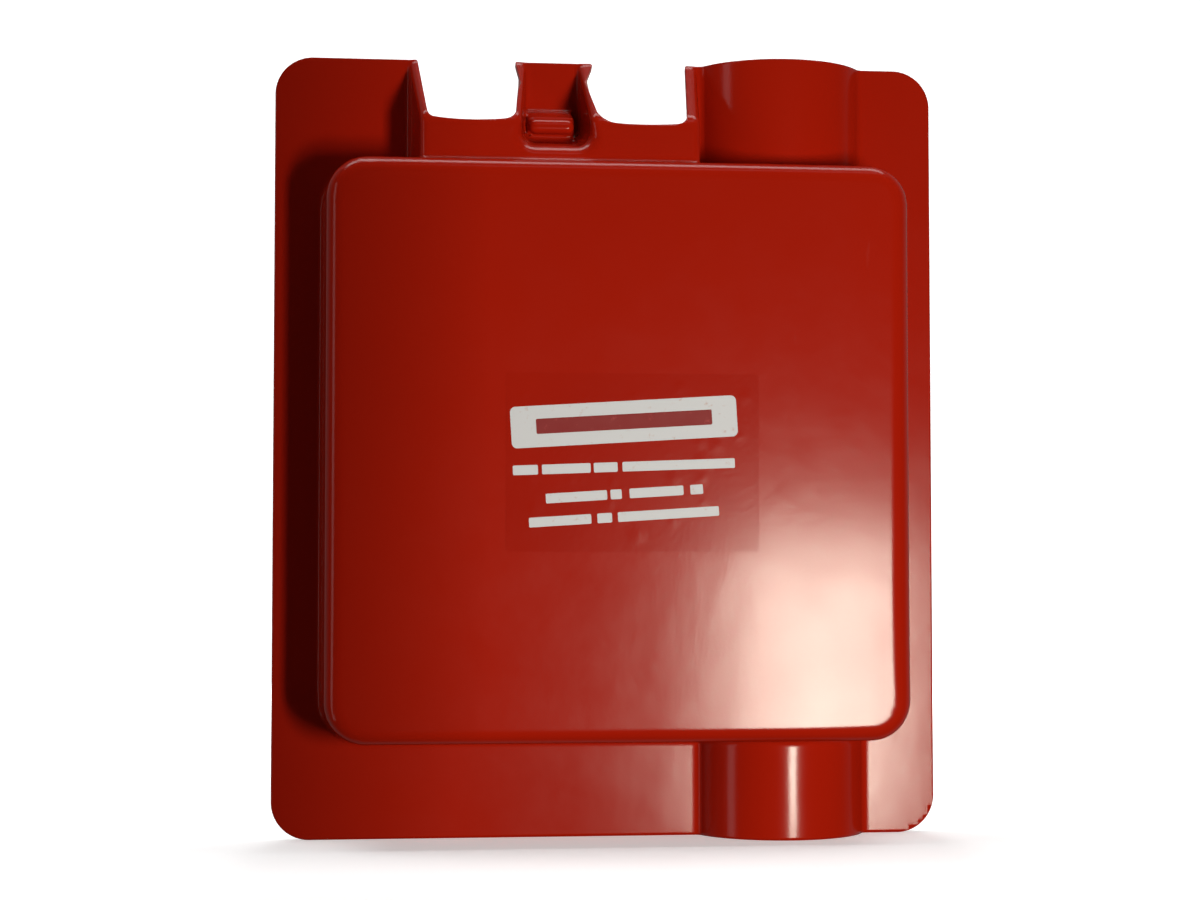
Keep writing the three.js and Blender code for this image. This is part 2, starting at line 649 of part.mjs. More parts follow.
function buildBase() {
  const base = new THREE.Group();
  base.add(meshOf("mounting_plate", mountingPlate(), MATERIALS.zincSteel));
  base.add(meshOf("valve_body", valveBody(), MATERIALS.aluminium));
  base.add(meshOf("gland_nut", glandNut(), MATERIALS.brass));
  base.add(meshOf("stem_packing", packingRing(), MATERIALS.ptfe));
  base.add(meshOf("silencer", silencer(), MATERIALS.bronze));
  base.add(meshOf("seal_tag", sealTag(), MATERIALS.sealPlastic));
  for (const [name, side] of [["inlet", -1], ["outlet", 1]]) {
    base.add(meshOf("seat_ring_" + name, seatRing(side), MATERIALS.ptfe));
    base.add(meshOf("elbow_" + name, elbow(side), MATERIALS.brass));
    base.add(meshOf("tube_seal_" + name, tubeSeal(side), MATERIALS.rubber));
    base.add(meshOf("release_collar_" + name, releaseCollar(side), MATERIALS.bluePlastic));
  }
  for (const place of VALVE_SCREW_PLACES) {
    base.add(meshOf(place.name, valveScrew(place), MATERIALS.zincSteel));
  }
  for (const place of STOP_PIN_PLACES) {
    base.add(meshOf(place.name, stopPin(place), MATERIALS.zincSteel));
  }
  for (const pad of PADS) {
    base.add(meshOf("wall_pad_" + pad.name, fastenerPad(pad, 0), MATERIALS.pad));
  }
  return base;
}

function buildLever() {
  const lever = new THREE.Group();
  lever.add(meshOf("valve_ball", valveBall(), MATERIALS.brass));
  lever.add(meshOf("valve_stem", valveStem(), MATERIALS.zincSteel));
  lever.add(meshOf("release_lever", leverArm(), MATERIALS.zincSteel));
  lever.add(meshOf("lever_grip", leverGrip(), MATERIALS.redGrip));
  lever.add(meshOf("lever_washer", leverWasher(), MATERIALS.zincSteel));
  lever.add(meshOf("lever_nut", leverNut(), MATERIALS.zincSteel));
  lever.add(meshOf("seal_shackle", sealShackle(), MATERIALS.sealPlastic));
  return lever;
}

const frontView = new THREE.Group();
frontView.rotation.x = Math.PI / 2;
frontView.add(buildCover(), buildBase(), buildLever());

const releasePoint = new THREE.Group();
releasePoint.add(frontView);

export default releasePoint;
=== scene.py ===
import json
import math

import bmesh
import bpy
import numpy as np
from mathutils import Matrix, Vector


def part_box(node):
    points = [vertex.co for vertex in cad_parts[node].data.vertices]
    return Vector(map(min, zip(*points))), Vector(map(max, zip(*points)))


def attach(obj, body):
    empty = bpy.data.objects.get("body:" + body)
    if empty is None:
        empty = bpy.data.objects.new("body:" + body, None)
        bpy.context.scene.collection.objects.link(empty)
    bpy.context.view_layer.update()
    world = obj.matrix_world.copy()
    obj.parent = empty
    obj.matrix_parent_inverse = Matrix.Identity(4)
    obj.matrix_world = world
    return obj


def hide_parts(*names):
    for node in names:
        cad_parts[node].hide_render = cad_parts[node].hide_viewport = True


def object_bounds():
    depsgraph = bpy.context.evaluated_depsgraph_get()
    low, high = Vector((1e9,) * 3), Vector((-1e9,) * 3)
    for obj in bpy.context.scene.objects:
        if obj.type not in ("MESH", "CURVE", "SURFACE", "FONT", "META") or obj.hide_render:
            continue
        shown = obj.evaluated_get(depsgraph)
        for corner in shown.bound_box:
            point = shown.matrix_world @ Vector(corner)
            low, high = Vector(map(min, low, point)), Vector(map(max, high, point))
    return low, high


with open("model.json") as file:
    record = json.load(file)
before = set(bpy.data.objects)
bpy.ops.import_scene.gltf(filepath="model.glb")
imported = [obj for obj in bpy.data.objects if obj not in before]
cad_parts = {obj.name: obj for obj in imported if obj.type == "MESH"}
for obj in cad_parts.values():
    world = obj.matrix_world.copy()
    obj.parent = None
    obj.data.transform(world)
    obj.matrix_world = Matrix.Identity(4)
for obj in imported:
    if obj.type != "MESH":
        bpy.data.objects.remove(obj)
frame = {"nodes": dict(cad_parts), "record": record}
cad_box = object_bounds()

# Shapes are worked out in millimetres in the front view: x to the right, y up, z from the wall to the viewer.
# place() turns that into the frame. The cover's shape uses h, the height over its flange, in place of z.

MM = 0.001
NODE_BODY = {node: body for body, nodes in frame["record"]["behaviour"]["bodies"].items() for node in nodes}
NODE_SLOT = {part["node"]: part["material_slot"] for part in frame["record"]["subparts"]}
cover_low, cover_high = (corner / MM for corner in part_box("cover_shell"))

SHEET = 2.5  # thickness of the formed cover
FLANGE_WIDTH = cover_high.x - cover_low.x
FLANGE_HEIGHT = cover_high.z - cover_low.z
FLANGE_CORNER = 17
FLANGE_FRONT = -cover_high.y + SHEET  # from the wall
BOX_RISE = -cover_low.y - FLANGE_FRONT

BOX = {"x": 1.7, "y": -3.2, "width": 257, "height": 254.4, "corner": 18, "draft": 0.05}
BOX_ROUND_TOP, BOX_ROUND_BOTTOM, BOX_ROUND_LEFT, BOX_ROUND_RIGHT = 7, 6, 7.5, 9
BOX_SHOULDER = 8  # how far below the front the draft of the walls starts
STEP = {"rise": 37, "bottom": 60, "ramp": 143, "left": -86, "right": 37, "draft": 0.11, "round": 3.2}
VALLEY = {"left": -37.4, "right": -13.2, "lean_left": 0.13, "lean_right": 0.06, "rim": 130, "foot": 139.5}
VALLEY_SIDE_ROUND, VALLEY_RIM_ROUND, VALLEY_CORNER = 2.6, 5.5, 6
VALLEY_BLEND = 4  # how far before and after its foot the valley's edge radius changes
BLOCK = {"left": -37, "right": -17, "near": 139.5, "top": 145, "foot": 152.5, "rise": 19, "round": 2.8}
LEDGE_RISE, LEDGE_ROUND = 14, 1.5  # the lower part of the block, beside its pad
UPPER_CHANNEL = {"x": 80.2, "radius": 42, "rise": 21}
LOWER_CHANNEL = {"x": 79.3, "radius": 40, "rise": 26}
FILLET = 1.8  # where the formed walls meet the flange and each other


FORWARD = np.array((0.0, 0.0, 1.0))
UP = np.array((0.0, 1.0, 0.0))


def place(points):
    """Front-view millimetres, as an array of rows x, y, z, in the frame's metres."""
    points = np.asarray(points, float)
    return np.stack([points[:, 0], -points[:, 2], points[:, 1]], axis=1) * MM


# ---- the cover's surface as a distance field


def round_max(a, b, radius):
    """The inside of both fields, with the edge between them rounded."""
    corner = np.hypot(np.maximum(a + radius, 0), np.maximum(b + radius, 0))
    return np.minimum(np.maximum(a, b), -radius) + corner


def round_min(a, b, radius):
    """The two fields joined, with a fillet where they meet."""
    return -round_max(-a, -b, radius)


def rounded_rectangle(x, y, half_width, half_height, corner):
    """Signed distance to a rounded rectangle centred on the origin."""
    past_x = np.abs(x) - half_width + corner
    past_y = np.abs(y) - half_height + corner
    outside = np.hypot(np.maximum(past_x, 0), np.maximum(past_y, 0))
    return outside + np.minimum(np.maximum(past_x, past_y), 0) - corner


def box_edge_round(x, y):
    """The radius of the box's front edge: its own on each side, with a smooth change at the corners."""
    side = (x / (BOX["width"] / 2)) ** 8
    end = (y / (BOX["height"] / 2)) ** 8
    side_round = np.where(x > 0, BOX_ROUND_RIGHT, BOX_ROUND_LEFT)
    end_round = np.where(y > 0, BOX_ROUND_TOP, BOX_ROUND_BOTTOM)
    return (side * side_round + end * end_round + 1e-9) / (side + end + 1e-9)


def box_field(x, y, h):
    x, y = x - BOX["x"], y - BOX["y"]
    spread = (BOX_RISE - BOX_SHOULDER - h) * BOX["draft"]
    walls = rounded_rectangle(
        x, y, BOX["width"] / 2 + spread, BOX["height"] / 2 + spread, BOX["corner"] + spread
    )
    return round_max(walls / math.hypot(1, BOX["draft"]), h - BOX_RISE, box_edge_round(x, y))


def step_field(x, y, h):
    rise, ramp, lean = STEP["rise"], STEP["ramp"], math.hypot(1, STEP["draft"])
    spread = (rise - h) * STEP["draft"]
    left = (STEP["left"] - spread - x) / lean
    right = (x - STEP["right"] - spread) / lean
    run = FLANGE_HEIGHT / 2 - ramp
    slope = ((y - ramp) * rise + (h - rise) * run) / math.hypot(rise, run)
    top = round_max(h - rise, slope, STEP["round"])
    body = round_max(np.maximum(left, right), top, STEP["round"])
    return np.maximum(body, STEP["bottom"] - y)


def valley_field(x, y, h):
    left = (VALLEY["left"] - VALLEY["lean_left"] * h - x) / math.hypot(1, VALLEY["lean_left"])
    right = (x - VALLEY["right"] - VALLEY["lean_right"] * h) / math.hypot(1, VALLEY["lean_right"])
    run = VALLEY["foot"] - VALLEY["rim"]
    end = ((VALLEY["foot"] - y) * STEP["rise"] - h * run) / math.hypot(STEP["rise"], run)
    return round_max(np.maximum(left, right), end, VALLEY_CORNER)


def block_field(x, y, h):
    side = np.maximum(BLOCK["left"] - x, x - BLOCK["right"])
    run = BLOCK["foot"] - BLOCK["top"]
    slope = ((y - BLOCK["top"]) * BLOCK["rise"] + (h - BLOCK["rise"]) * run) / math.hypot(BLOCK["rise"], run)
    top = round_max(h - BLOCK["rise"], np.maximum(slope, BLOCK["near"] - y), BLOCK["round"])
    pad = round_max(side, top, BLOCK["round"])
    ledge = np.maximum(side, np.maximum(h - LEDGE_RISE, slope))
    return np.maximum(round_min(pad, ledge, LEDGE_ROUND), VALLEY["rim"] - y)


def channel_field(channel, x, h):
    radius = channel["radius"]
    return np.hypot(x - channel["x"], h - channel["rise"] + radius) - radius


def cover_field(x, y, h):
    """Signed distance, near enough, to the front of the untrimmed formed sheet; negative behind it."""
    near_rim = np.clip((VALLEY["foot"] + VALLEY_BLEND - y) / (2 * VALLEY_BLEND), 0, 1)
    valley_round = VALLEY_SIDE_ROUND + (VALLEY_RIM_ROUND - VALLEY_SIDE_ROUND) * near_rim
    step = round_max(step_field(x, y, h), -valley_field(x, y, h), valley_round)
    step = round_min(step, block_field(x, y, h), BLOCK["round"])
    channels = np.where(y > 0, channel_field(UPPER_CHANNEL, x, h), channel_field(LOWER_CHANNEL, x, h))
    formed = round_min(h, channels, FILLET)
    formed = round_min(formed, step, FILLET)
    return round_min(formed, box_field(x, y, h), FILLET)


def gradient(field, points, step=0.02):
    columns = [field(*(points + offset).T) - field(*(points - offset).T) for offset in np.eye(3) * step]
    return np.stack(columns, axis=1) / (2 * step)


def settle(field, points, rounds=6):
    """Moves points onto the surface where the field is zero."""
    for _ in range(rounds):
        slope = gradient(field, points)
        share = field(*points.T) / np.maximum((slope**2).sum(axis=1), 0.05)
        points = points - np.clip(share, -1, 1)[:, None] * slope
    return points


# ---- from the field to a mesh


def grid_lines(low, high, coarse, zones):
    """Stations from low to high: coarse apart, but finer inside each zone (from, to, spacing)."""
    stations = [low]
    while stations[-1] < high:
        here = stations[-1]
        spacing = min([step for start, end, step in zones if start <= here < end], default=coarse)
        ahead = [start - here for start, _, _ in zones if start > here]
        stations.append(here + min([spacing] + ahead))
    return np.array(stations)


def flat_grid(xs, ys):
    """Points at height zero on all the crossings of the stations, and the quads between them."""
    grid_x, grid_y = np.meshgrid(xs, ys, indexing="ij")
    points = np.stack([grid_x.ravel(), grid_y.ravel(), np.zeros(grid_x.size)], axis=1)
    number = np.arange(grid_x.size).reshape(grid_x.shape)
    corners = (number[:-1, :-1], number[1:, :-1], number[1:, 1:], number[:-1, 1:])
    return points, np.stack([c.ravel() for c in corners], axis=1)


def edge_crossings(lines, values, axis):
    """Grid edges along an axis that cross the surface: first corner, crossing, and which way it faces."""
    before, after = np.delete(values, -1, axis), np.delete(values, 0, axis)
    corners = np.nonzero((before < 0) != (after < 0))
    before, after = before[corners], after[corners]
    spots = np.stack([line[index] for line, index in zip(lines, corners)], axis=1)
    spots[:, axis] += before / (before - after) * np.diff(lines[axis])[corners[axis]]
    return np.stack(corners, axis=1), spots, (before < 0) != (axis == 1)


def surface_net(xs, ys, hs, field):
    """One point in each grid cell that the surface crosses, and a quad for each grid edge that it crosses."""
    lines = (xs, ys, hs)
    values = field(*np.meshgrid(*lines, indexing="ij"))
    cells = tuple(n - 1 for n in values.shape)
    total = np.zeros((*cells, 3))
    hits = np.zeros(cells)
    quads = []
    for axis in range(3):
        corners, spots, flipped = edge_crossings(lines, values, axis)
        around = np.insert([(0, 0), (0, -1), (-1, -1), (-1, 0)], axis, 0, axis=1)
        cell_ring = corners[:, None] + around
        within = np.all((cell_ring >= 0) & (cell_ring < cells), axis=2)
        where = tuple(cell_ring[within].T)
        np.add.at(total, where, np.repeat(spots, within.sum(axis=1), axis=0))
        np.add.at(hits, where, 1)
        cell_ring[flipped] = cell_ring[flipped][:, ::-1]
        quads.append(cell_ring[within.all(axis=1)])
    number = np.full(cells, -1)
    used = hits > 0
    number[used] = np.arange(used.sum())
    points = total[used] / hits[used][:, None]
    return points, number[tuple(np.concatenate(quads).transpose(2, 0, 1))]


def line_crossings(points, pairs, outside):
    """Where the line from an inner to an outer point leaves the outline, for rows of two point numbers."""
    halvings = 14
    inner, outer = points[pairs[:, 0]], points[pairs[:, 1]]
    low, high = np.zeros(len(pairs)), np.ones(len(pairs))
    for _ in range(halvings):
        middle = (low + high) / 2
        spot = inner + (outer - inner) * middle[:, None]
        within = outside(spot[:, 0], spot[:, 1]) < 0
        low, high = np.where(within, middle, low), np.where(within, high, middle)
    return inner + (outer - inner) * low[:, None]


def trimmed(points, faces, outside):
    """Triangles of the quads, cut along the line where outside(x, y) is zero, keeping its negative side."""
    triangles = np.concatenate([faces[:, [0, 1, 2]], faces[:, [0, 2, 3]]])
    within = outside(points[:, 0], points[:, 1]) < 0
    count = within[triangles].sum(axis=1)
    crossing = triangles[(count > 0) & (count < 3)]
    sides = crossing[:, [[0, 1], [1, 2], [2, 0]]].reshape(-1, 2)
    sides = sides[within[sides[:, 0]] != within[sides[:, 1]]]
    ordered = np.where(within[sides[:, 0]][:, None], sides, sides[:, ::-1])
    pairs = np.unique(ordered, axis=0)
    number = {tuple(pair): len(points) + n for n, pair in enumerate(pairs.tolist())}
    kept = triangles[count == 3].tolist()
    for triangle in crossing.tolist():
        while not within[triangle[0]] or within[triangle[2]]:
            triangle = triangle[1:] + triangle[:1]
        first, second, third = triangle
        if within[second]:
            q, r = number[second, third], number[first, third]
            kept += [[first, second, q], [first, q, r]]
        else:
            kept.append([first, number[first, second], number[first, third]])
    points = np.concatenate([points, line_crossings(points, pairs, outside)])
    return without_spares(points, np.array(kept))


def without_spares(points, triangles):
    """The same triangles, without the points that none of them uses."""
    used, numbers = np.unique(triangles, return_inverse=True)
    return points[used], numbers.reshape(triangles.shape)


def thickened(points, triangles, normals, depth):
    """A closed sheet: the triangles, the same moved back by depth, and a rim; also how many are not rim."""
    count = len(points)
    sides = triangles[:, [[0, 1], [1, 2], [2, 0]]].reshape(-1, 2)
    keys = sides[:, 0] * count + sides[:, 1]
    free = sides[~np.isin(keys, sides[:, 1] * count + sides[:, 0])]
    rim = np.stack([free[:, 1], free[:, 0], free[:, 0] + count, free[:, 1] + count], axis=1)
    faces = triangles.tolist() + (triangles[:, ::-1] + count).tolist() + rim.tolist()
    return np.concatenate([points, points - normals * depth]), faces, len(triangles) * 2


# ---- the cover's trimmed outline


def pulled(start, pull, end, shares):
    """Points along the curve from start to end that a third point pulls towards itself."""
    return [(1 - t) ** 2 * start + 2 * t * (1 - t) * pull + t * t * end for t in shares]


def curve_points(segments):
    """A polyline through a chain of points; a segment of two points is a curve that its first point pulls."""
    line = [np.array(segments[0], float)]
    for segment in segments[1:]:
        points = np.array(segment, float)
        line += [points] if points.ndim == 1 else pulled(line[-1], *points, np.linspace(0, 1, 11)[1:])
    return np.array(line)


BEYOND = FLANGE_HEIGHT / 2 + 5
LEFT_NOTCH = curve_points(
    [(-87, BEYOND), (-83.2, 146), ((-82.8, 142.8), (-79.5, 142.5)), ((-66, 140.6), (-49.5, 142.2))]
    + [((-45, 142.8), (-43.8, 147)), ((-43, 157), (-40.6, 162.6)), (-42.8, BEYOND)]
)
RIGHT_NOTCH = curve_points(
    [(-4.6, BEYOND), (-11.4, 163.9), (-8.2, 146.5), ((-6, 142.2), (-0.5, 141.2))]
    + [((12.6, 140.2), (27, 141.3)), ((31.2, 141.8), (31.8, 146)), (36.6, BEYOND)]
)


def in_polygon(line, x, y):
    """Whether each point lies inside the closed polyline."""
    inside = np.zeros(x.shape, bool)
    for (ax, ay), (bx, by) in zip(line, np.roll(line, -1, axis=0)):
        if ay != by:
            inside ^= ((ay > y) != (by > y)) & (x < ax + (y - ay) * (bx - ax) / (by - ay))
    return inside


def outside_outline(x, y):
    """Positive where the sheet is trimmed away: beyond the flange and in the two notches."""
    beyond = rounded_rectangle(x, y, FLANGE_WIDTH / 2, FLANGE_HEIGHT / 2, FLANGE_CORNER)
    return np.where(in_polygon(LEFT_NOTCH, x, y) | in_polygon(RIGHT_NOTCH, x, y), 1, beyond)


# ---- mesh helpers


def linked(name, data):
    """A new object in the scene."""
    piece = bpy.data.objects.new(name, data)
    bpy.context.scene.collection.objects.link(piece)
    return piece


def band(here, there, sides):
    """Quads between two rings of points, each given by the number of its first point."""
    return [(here + k, here + (k + 1) % sides, there + (k + 1) % sides, there + k) for k in range(sides)]


def mesh_object(name, points, faces, material):
    mesh = bpy.data.meshes.new(name)
    mesh.from_pydata(points, [], faces)
    mesh.validate()
    mesh.materials.append(material)
    return linked(name, mesh)


def stands_for(piece, node):
    """The piece rides with the body of the CAD node it replaces, and that node is hidden."""
    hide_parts(node)
    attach(piece, NODE_BODY[node])


# ---- materials


class Nodes:
    """A short way to write a node material, or the world's nodes."""

    def __init__(self, name, kind=bpy.data.materials):
        self.material = kind.new(name)
        self.material.use_nodes = True
        self.tree = self.material.node_tree
        self.shader = next(node for node in self.tree.nodes if "OUTPUT" not in node.type)

    def add(self, kind, inputs, **settings):
        node = self.tree.nodes.new("ShaderNode" + kind)
        for key, value in settings.items():
            setattr(node, key, value)
        for key, value in inputs.items():
            self.put(node.inputs[key], value)
        return node

    def put(self, socket, value):
        if isinstance(value, bpy.types.NodeSocket):
            self.tree.links.new(value, socket)
        else:
            socket.default_value = (*value, 1) if socket.type == "RGBA" else value

    def set(self, **inputs):
        for key, value in inputs.items():
            self.put(self.shader.inputs[key.replace("_", " ")], value)

    def colour(self, share, first, second, **others):
        """The base colour, between two colours, and any other inputs of the shader."""
        self.set(Base_Color=self.mix(share, first, second), **others)

    def place(self):
        return self.add("TexCoord", {}).outputs["Object"]

    def stretched(self, scale):
        """Texture space squeezed along some axes, so that a noise turns into streaks."""
        return self.add("Mapping", {"Vector": self.place(), "Scale": scale}).outputs["Vector"]

    def math(self, operation, first, second):
        return self.add("Math", {0: first, 1: second}, operation=operation).outputs[0]

    def noise(self, scale, detail=3.0, roughness=0.5, vector=None):
        inputs = {"Vector": vector or self.place(), "Scale": scale, "Detail": detail, "Roughness": roughness}
        return self.add("TexNoise", inputs).outputs["Fac"]

    def ramp(self, value, low, high, low_at=0.0, high_at=1.0, shape="LINEAR"):
        inputs = {"Value": value, "From Min": low_at, "From Max": high_at, "To Min": low, "To Max": high}
        return self.add("MapRange", inputs, interpolation_type=shape).outputs["Result"]

    def mix(self, share, first, second):
        node = self.tree.nodes.new("ShaderNodeMix")
        node.data_type = "RGBA"
        self.put(node.inputs["Factor"], share)
        self.put(node.inputs[6], first)
        self.put(node.inputs[7], second)
        return node.outputs[2]

    def bumped(self, height, strength, distance):
        """The finished material, with its last node, the bump."""
        inputs = {"Height": height, "Strength": strength, "Distance": distance}
        self.set(Normal=self.add("Bump", inputs).outputs["Normal"])
        return self.material


def red_sheet():
    """Formed red plastic: satin gloss with faint orange peel, blotches and fine scuffs."""
    m = Nodes("red_sheet")
    blotch = m.noise(7, 3)
    m.colour(blotch, (0.30, 0.0078, 0.0016), (0.34, 0.0098, 0.0022))
    haze = m.noise(38, 5, 0.62)
    scuff = m.ramp(m.noise(160, 6, 0.75, m.stretched((1.0, 1.0, 0.12))), 0, 1, 0.66, 0.72)
    gloss = m.ramp(haze, 0.15, 0.18, 0.3, 0.7)
    m.set(Roughness=m.math("ADD", gloss, m.math("MULTIPLY", scuff, 0.05)), Specular_IOR_Level=0.16)
    peel = m.noise(1100, 2)
    wave = m.noise(55, 2)
    return m.bumped(m.math("ADD", peel, m.math("MULTIPLY", wave, 6)), 0.05, 0.00025)


def cut_edge():
    """The trimmed rim of the sheet, paler and duller than its skin, with the marks of the cutter."""
    m = Nodes("cut_edge")
    grain = m.noise(900, 4, 0.6, m.stretched((1, 0.15, 1)))
    m.colour(grain, (0.34, 0.09, 0.085), (0.52, 0.22, 0.20), Roughness=m.ramp(grain, 0.5, 0.75))
    return m.bumped(grain, 0.4, 0.0002)


def zinc_plate():
    """Bright zinc on pressed steel: soft crystalline patches, rolling streaks and a few dull stains."""
    m = Nodes("zinc_plate")
    patches = m.add("TexVoronoi", {"Vector": m.place(), "Scale": 240.0}).outputs["Color"]
    streaks = m.noise(150, 4, 0.6, m.stretched((1, 1, 0.06)))
    stain = m.noise(22, 4, 0.6)
    tone = m.mix(streaks, (0.46, 0.475, 0.49), (0.60, 0.61, 0.62))
    m.colour(m.ramp(stain, 0, 0.55, 0.5, 0.8), tone, (0.38, 0.37, 0.34), Metallic=1.0)
    m.set(Roughness=m.ramp(patches, 0.26, 0.42))
    return m.bumped(streaks, 0.12, 0.00015)


def blasted_aluminium():
    """A cast and bead-blasted block."""
    m = Nodes("blasted_aluminium")
    grain = m.noise(1500, 4, 0.65)
    wear = m.noise(45, 4, 0.6)
    m.colour(wear, (0.40, 0.41, 0.42), (0.52, 0.53, 0.54), Metallic=1.0, Roughness=m.ramp(wear, 0.42, 0.58))
    return m.bumped(grain, 0.45, 0.00022)


def turned_brass():
    """Brass straight from the lathe, slightly darkened."""
    m = Nodes("turned_brass")
    marks = m.noise(2200, 2, 0.5, m.stretched((1.0, 0.08, 0.08)))
    tarnish = m.noise(90, 5, 0.6)
    m.colour(tarnish, (0.62, 0.42, 0.15), (0.44, 0.27, 0.09), Metallic=1.0)
    m.set(Roughness=m.ramp(tarnish, 0.2, 0.4))
    return m.bumped(marks, 0.18, 0.0001)


def sintered_bronze():
    """Bronze beads sintered together, with painted shade darkening each bead towards the gaps between the
    beads.
    """
    m = Nodes("sintered_bronze")
    beads = m.add("TexVoronoi", {"Vector": m.place(), "Scale": 1300.0}).outputs["Distance"]
    # painted shade: the colour is light on the bead tops and goes dark towards the low gaps between the beads
    shade = m.ramp(beads, 0, 1, 0, 0.6)
    m.colour(shade, (0.46, 0.29, 0.12), (0.10, 0.055, 0.025), Metallic=0.9)
    m.set(Roughness=m.ramp(m.noise(300, 3), 0.5, 0.7))
    return m.bumped(m.ramp(beads, 1, 0, 0, 0.6), 0.8, 0.0004)


def white_ptfe():
    """Waxy white seal plastic with faint turning lines."""
    m = Nodes("white_ptfe")
    cloud = m.noise(120, 3)
    m.colour(cloud, (0.80, 0.79, 0.74), (0.70, 0.69, 0.64), Roughness=m.ramp(cloud, 0.35, 0.5))
    return m.bumped(m.noise(1500, 2, 0.5, m.stretched((1, 0.1, 1))), 0.15, 0.0001)


def moulded_plastic(name, first, second, gloss):
    """Injection-moulded plastic with a fine spark-eroded skin and a slow drift of colour."""
    m = Nodes(name)
    drift = m.noise(60, 3)
    m.colour(drift, first, second, Roughness=m.ramp(m.noise(240, 4), gloss, gloss + 0.14))
    return m.bumped(m.noise(2600, 3, 0.6), 0.25, 0.00012)


def plated_steel(name, first, second, gloss):
    """Small steel parts from a barrel: fine random scratches and slight shade changes."""
    m = Nodes(name)
    scratches = m.noise(900, 5, 0.7, m.stretched((1, 0.15, 0.4)))
    shade = m.noise(110, 4)
    m.colour(shade, first, second, Metallic=1.0, Roughness=m.ramp(scratches, gloss, gloss + 0.2))
    return m.bumped(scratches, 0.1, 0.0001)


def powder_coat():
    """Dark powder coating with its fine orange peel."""
    m = Nodes("powder_coat")
    peel = m.noise(700, 3, 0.6)
    rub = m.ramp(m.noise(85, 6, 0.7), 0, 1, 0.62, 0.75)
    m.colour(rub, (0.030, 0.031, 0.034), (0.075, 0.076, 0.08), Roughness=m.ramp(peel, 0.34, 0.5))
    return m.bumped(peel, 0.5, 0.0003)


def soft_rubber(name, first, second):
    m = Nodes(name)
    bloom = m.noise(130, 5, 0.6)
    m.colour(bloom, first, second, Roughness=m.ramp(bloom, 0.55, 0.8))
    return m.bumped(m.noise(1800, 3, 0.6), 0.3, 0.0002)


def tape(name, scale):
    """Black fastener tape: a field of small raised dots in a woven ground, with painted shade darkening the
    ground between the dots.
    """
    m = Nodes(name)
    dots = m.add("TexVoronoi", {"Vector": m.place(), "Scale": scale}).outputs["Distance"]
    weave = m.noise(900, 4, 0.7)
    # painted shade: the colour is lighter on the raised dots and darker in the low ground between them
    m.colour(m.ramp(dots, 0, 1, 0, 0.5), (0.045, 0.045, 0.048), (0.012, 0.012, 0.013))
    m.set(Roughness=m.ramp(weave, 0.7, 0.95))
    return m.bumped(m.ramp(dots, 1, 0, 0, 0.6), 0.9, 0.0005)


def node_materials():
    collar_blue = (0.02, 0.075, 0.33), (0.018, 0.06, 0.27)
    return {
        "zinc_plate": zinc_plate(),
        "valve_casting": blasted_aluminium(),
        "brass_fitting": turned_brass(),
        "ptfe": white_ptfe(),
        "sintered_bronze": sintered_bronze(),
        "seal_plastic": moulded_plastic("seal_plastic", (0.72, 0.44, 0.03), (0.62, 0.36, 0.02), 0.3),
        "zinc_fastener": plated_steel("zinc_fastener", (0.55, 0.56, 0.58), (0.44, 0.45, 0.47), 0.24),
        "polished_ball": plated_steel("polished_ball", (0.66, 0.50, 0.24), (0.60, 0.44, 0.20), 0.12),
        "stem_steel": plated_steel("stem_steel", (0.50, 0.50, 0.51), (0.42, 0.42, 0.43), 0.2),
        "lever_steel": powder_coat(),
        "grip_rubber": soft_rubber("grip_rubber", (0.36, 0.012, 0.010), (0.28, 0.012, 0.010)),
        "o_ring": soft_rubber("o_ring", (0.02, 0.02, 0.021), (0.035, 0.035, 0.036)),
        "collar_plastic": moulded_plastic("collar_plastic", *collar_blue, 0.28),
        "hook_pad": tape("hook_pad", 900.0),
        "loop_pad": tape("loop_pad", 1600.0),
    }


# ---- cover


def cover_grid():
    """The stations of the cover's grid along x, y and h, closer together where the shape is finer."""
    fine, medium, coarse, coarse_h = 1.1, 2.2, 6.5, 1.7
    past, beyond = 1.6, 2
    edge_x, edge_y = FLANGE_WIDTH / 2 + beyond, FLANGE_HEIGHT / 2 + beyond
    x_zones = [
        (-edge_x, -134, medium),  # left flange
        (-134, -115, fine),  # box's left edge
        (-93, -80, fine),  # step's left wall
        (-49, -5, fine),  # valley and block
        (28, 48, fine),  # step's right wall
        (48, 112, medium),  # channels
        (112, 135, fine),  # box's right edge
        (135, edge_x, medium),  # right flange
    ]
    y_zones = [
        (-edge_y, -138, medium),  # lower flange
        (-138, -119, fine),  # box's lower edge
        (112, edge_y, fine),  # box's upper edge, step and notches
    ]
    h_zones = [
        (-past, 4, 1.0),  # flange and its fillets
        (10, 22, fine),  # block and upper channel
        (32, 47, fine),  # fronts of the step and the box
    ]
    xs = grid_lines(-edge_x, edge_x, coarse, x_zones)
    ys = grid_lines(-edge_y, edge_y, coarse, y_zones)
    hs = grid_lines(-past, BOX_RISE + past, coarse_h, h_zones)
    return xs, ys, hs


def build_cover():
    points, quads = surface_net(*cover_grid(), cover_field)
    points = settle(cover_field, points)
    points, triangles = trimmed(points, quads, outside_outline)
    points = settle(cover_field, points, 2)
    slope = gradient(cover_field, points)
    normals = slope / np.linalg.norm(slope, axis=1)[:, None]
    points, faces, skin = thickened(points, triangles, normals, SHEET)
    cover = mesh_object("cover_sheet", place(points + (0, 0, FLANGE_FRONT)), faces, red_sheet())
    cover.data.materials.append(cut_edge())
    is_rim = np.arange(len(cover.data.polygons)) >= skin
    cover.data.polygons.foreach_set("material_index", is_rim.astype(np.int32))
    cover.data.polygons.foreach_set("use_smooth", ~is_rim)
    stands_for(cover, "cover_shell")


# ---- label

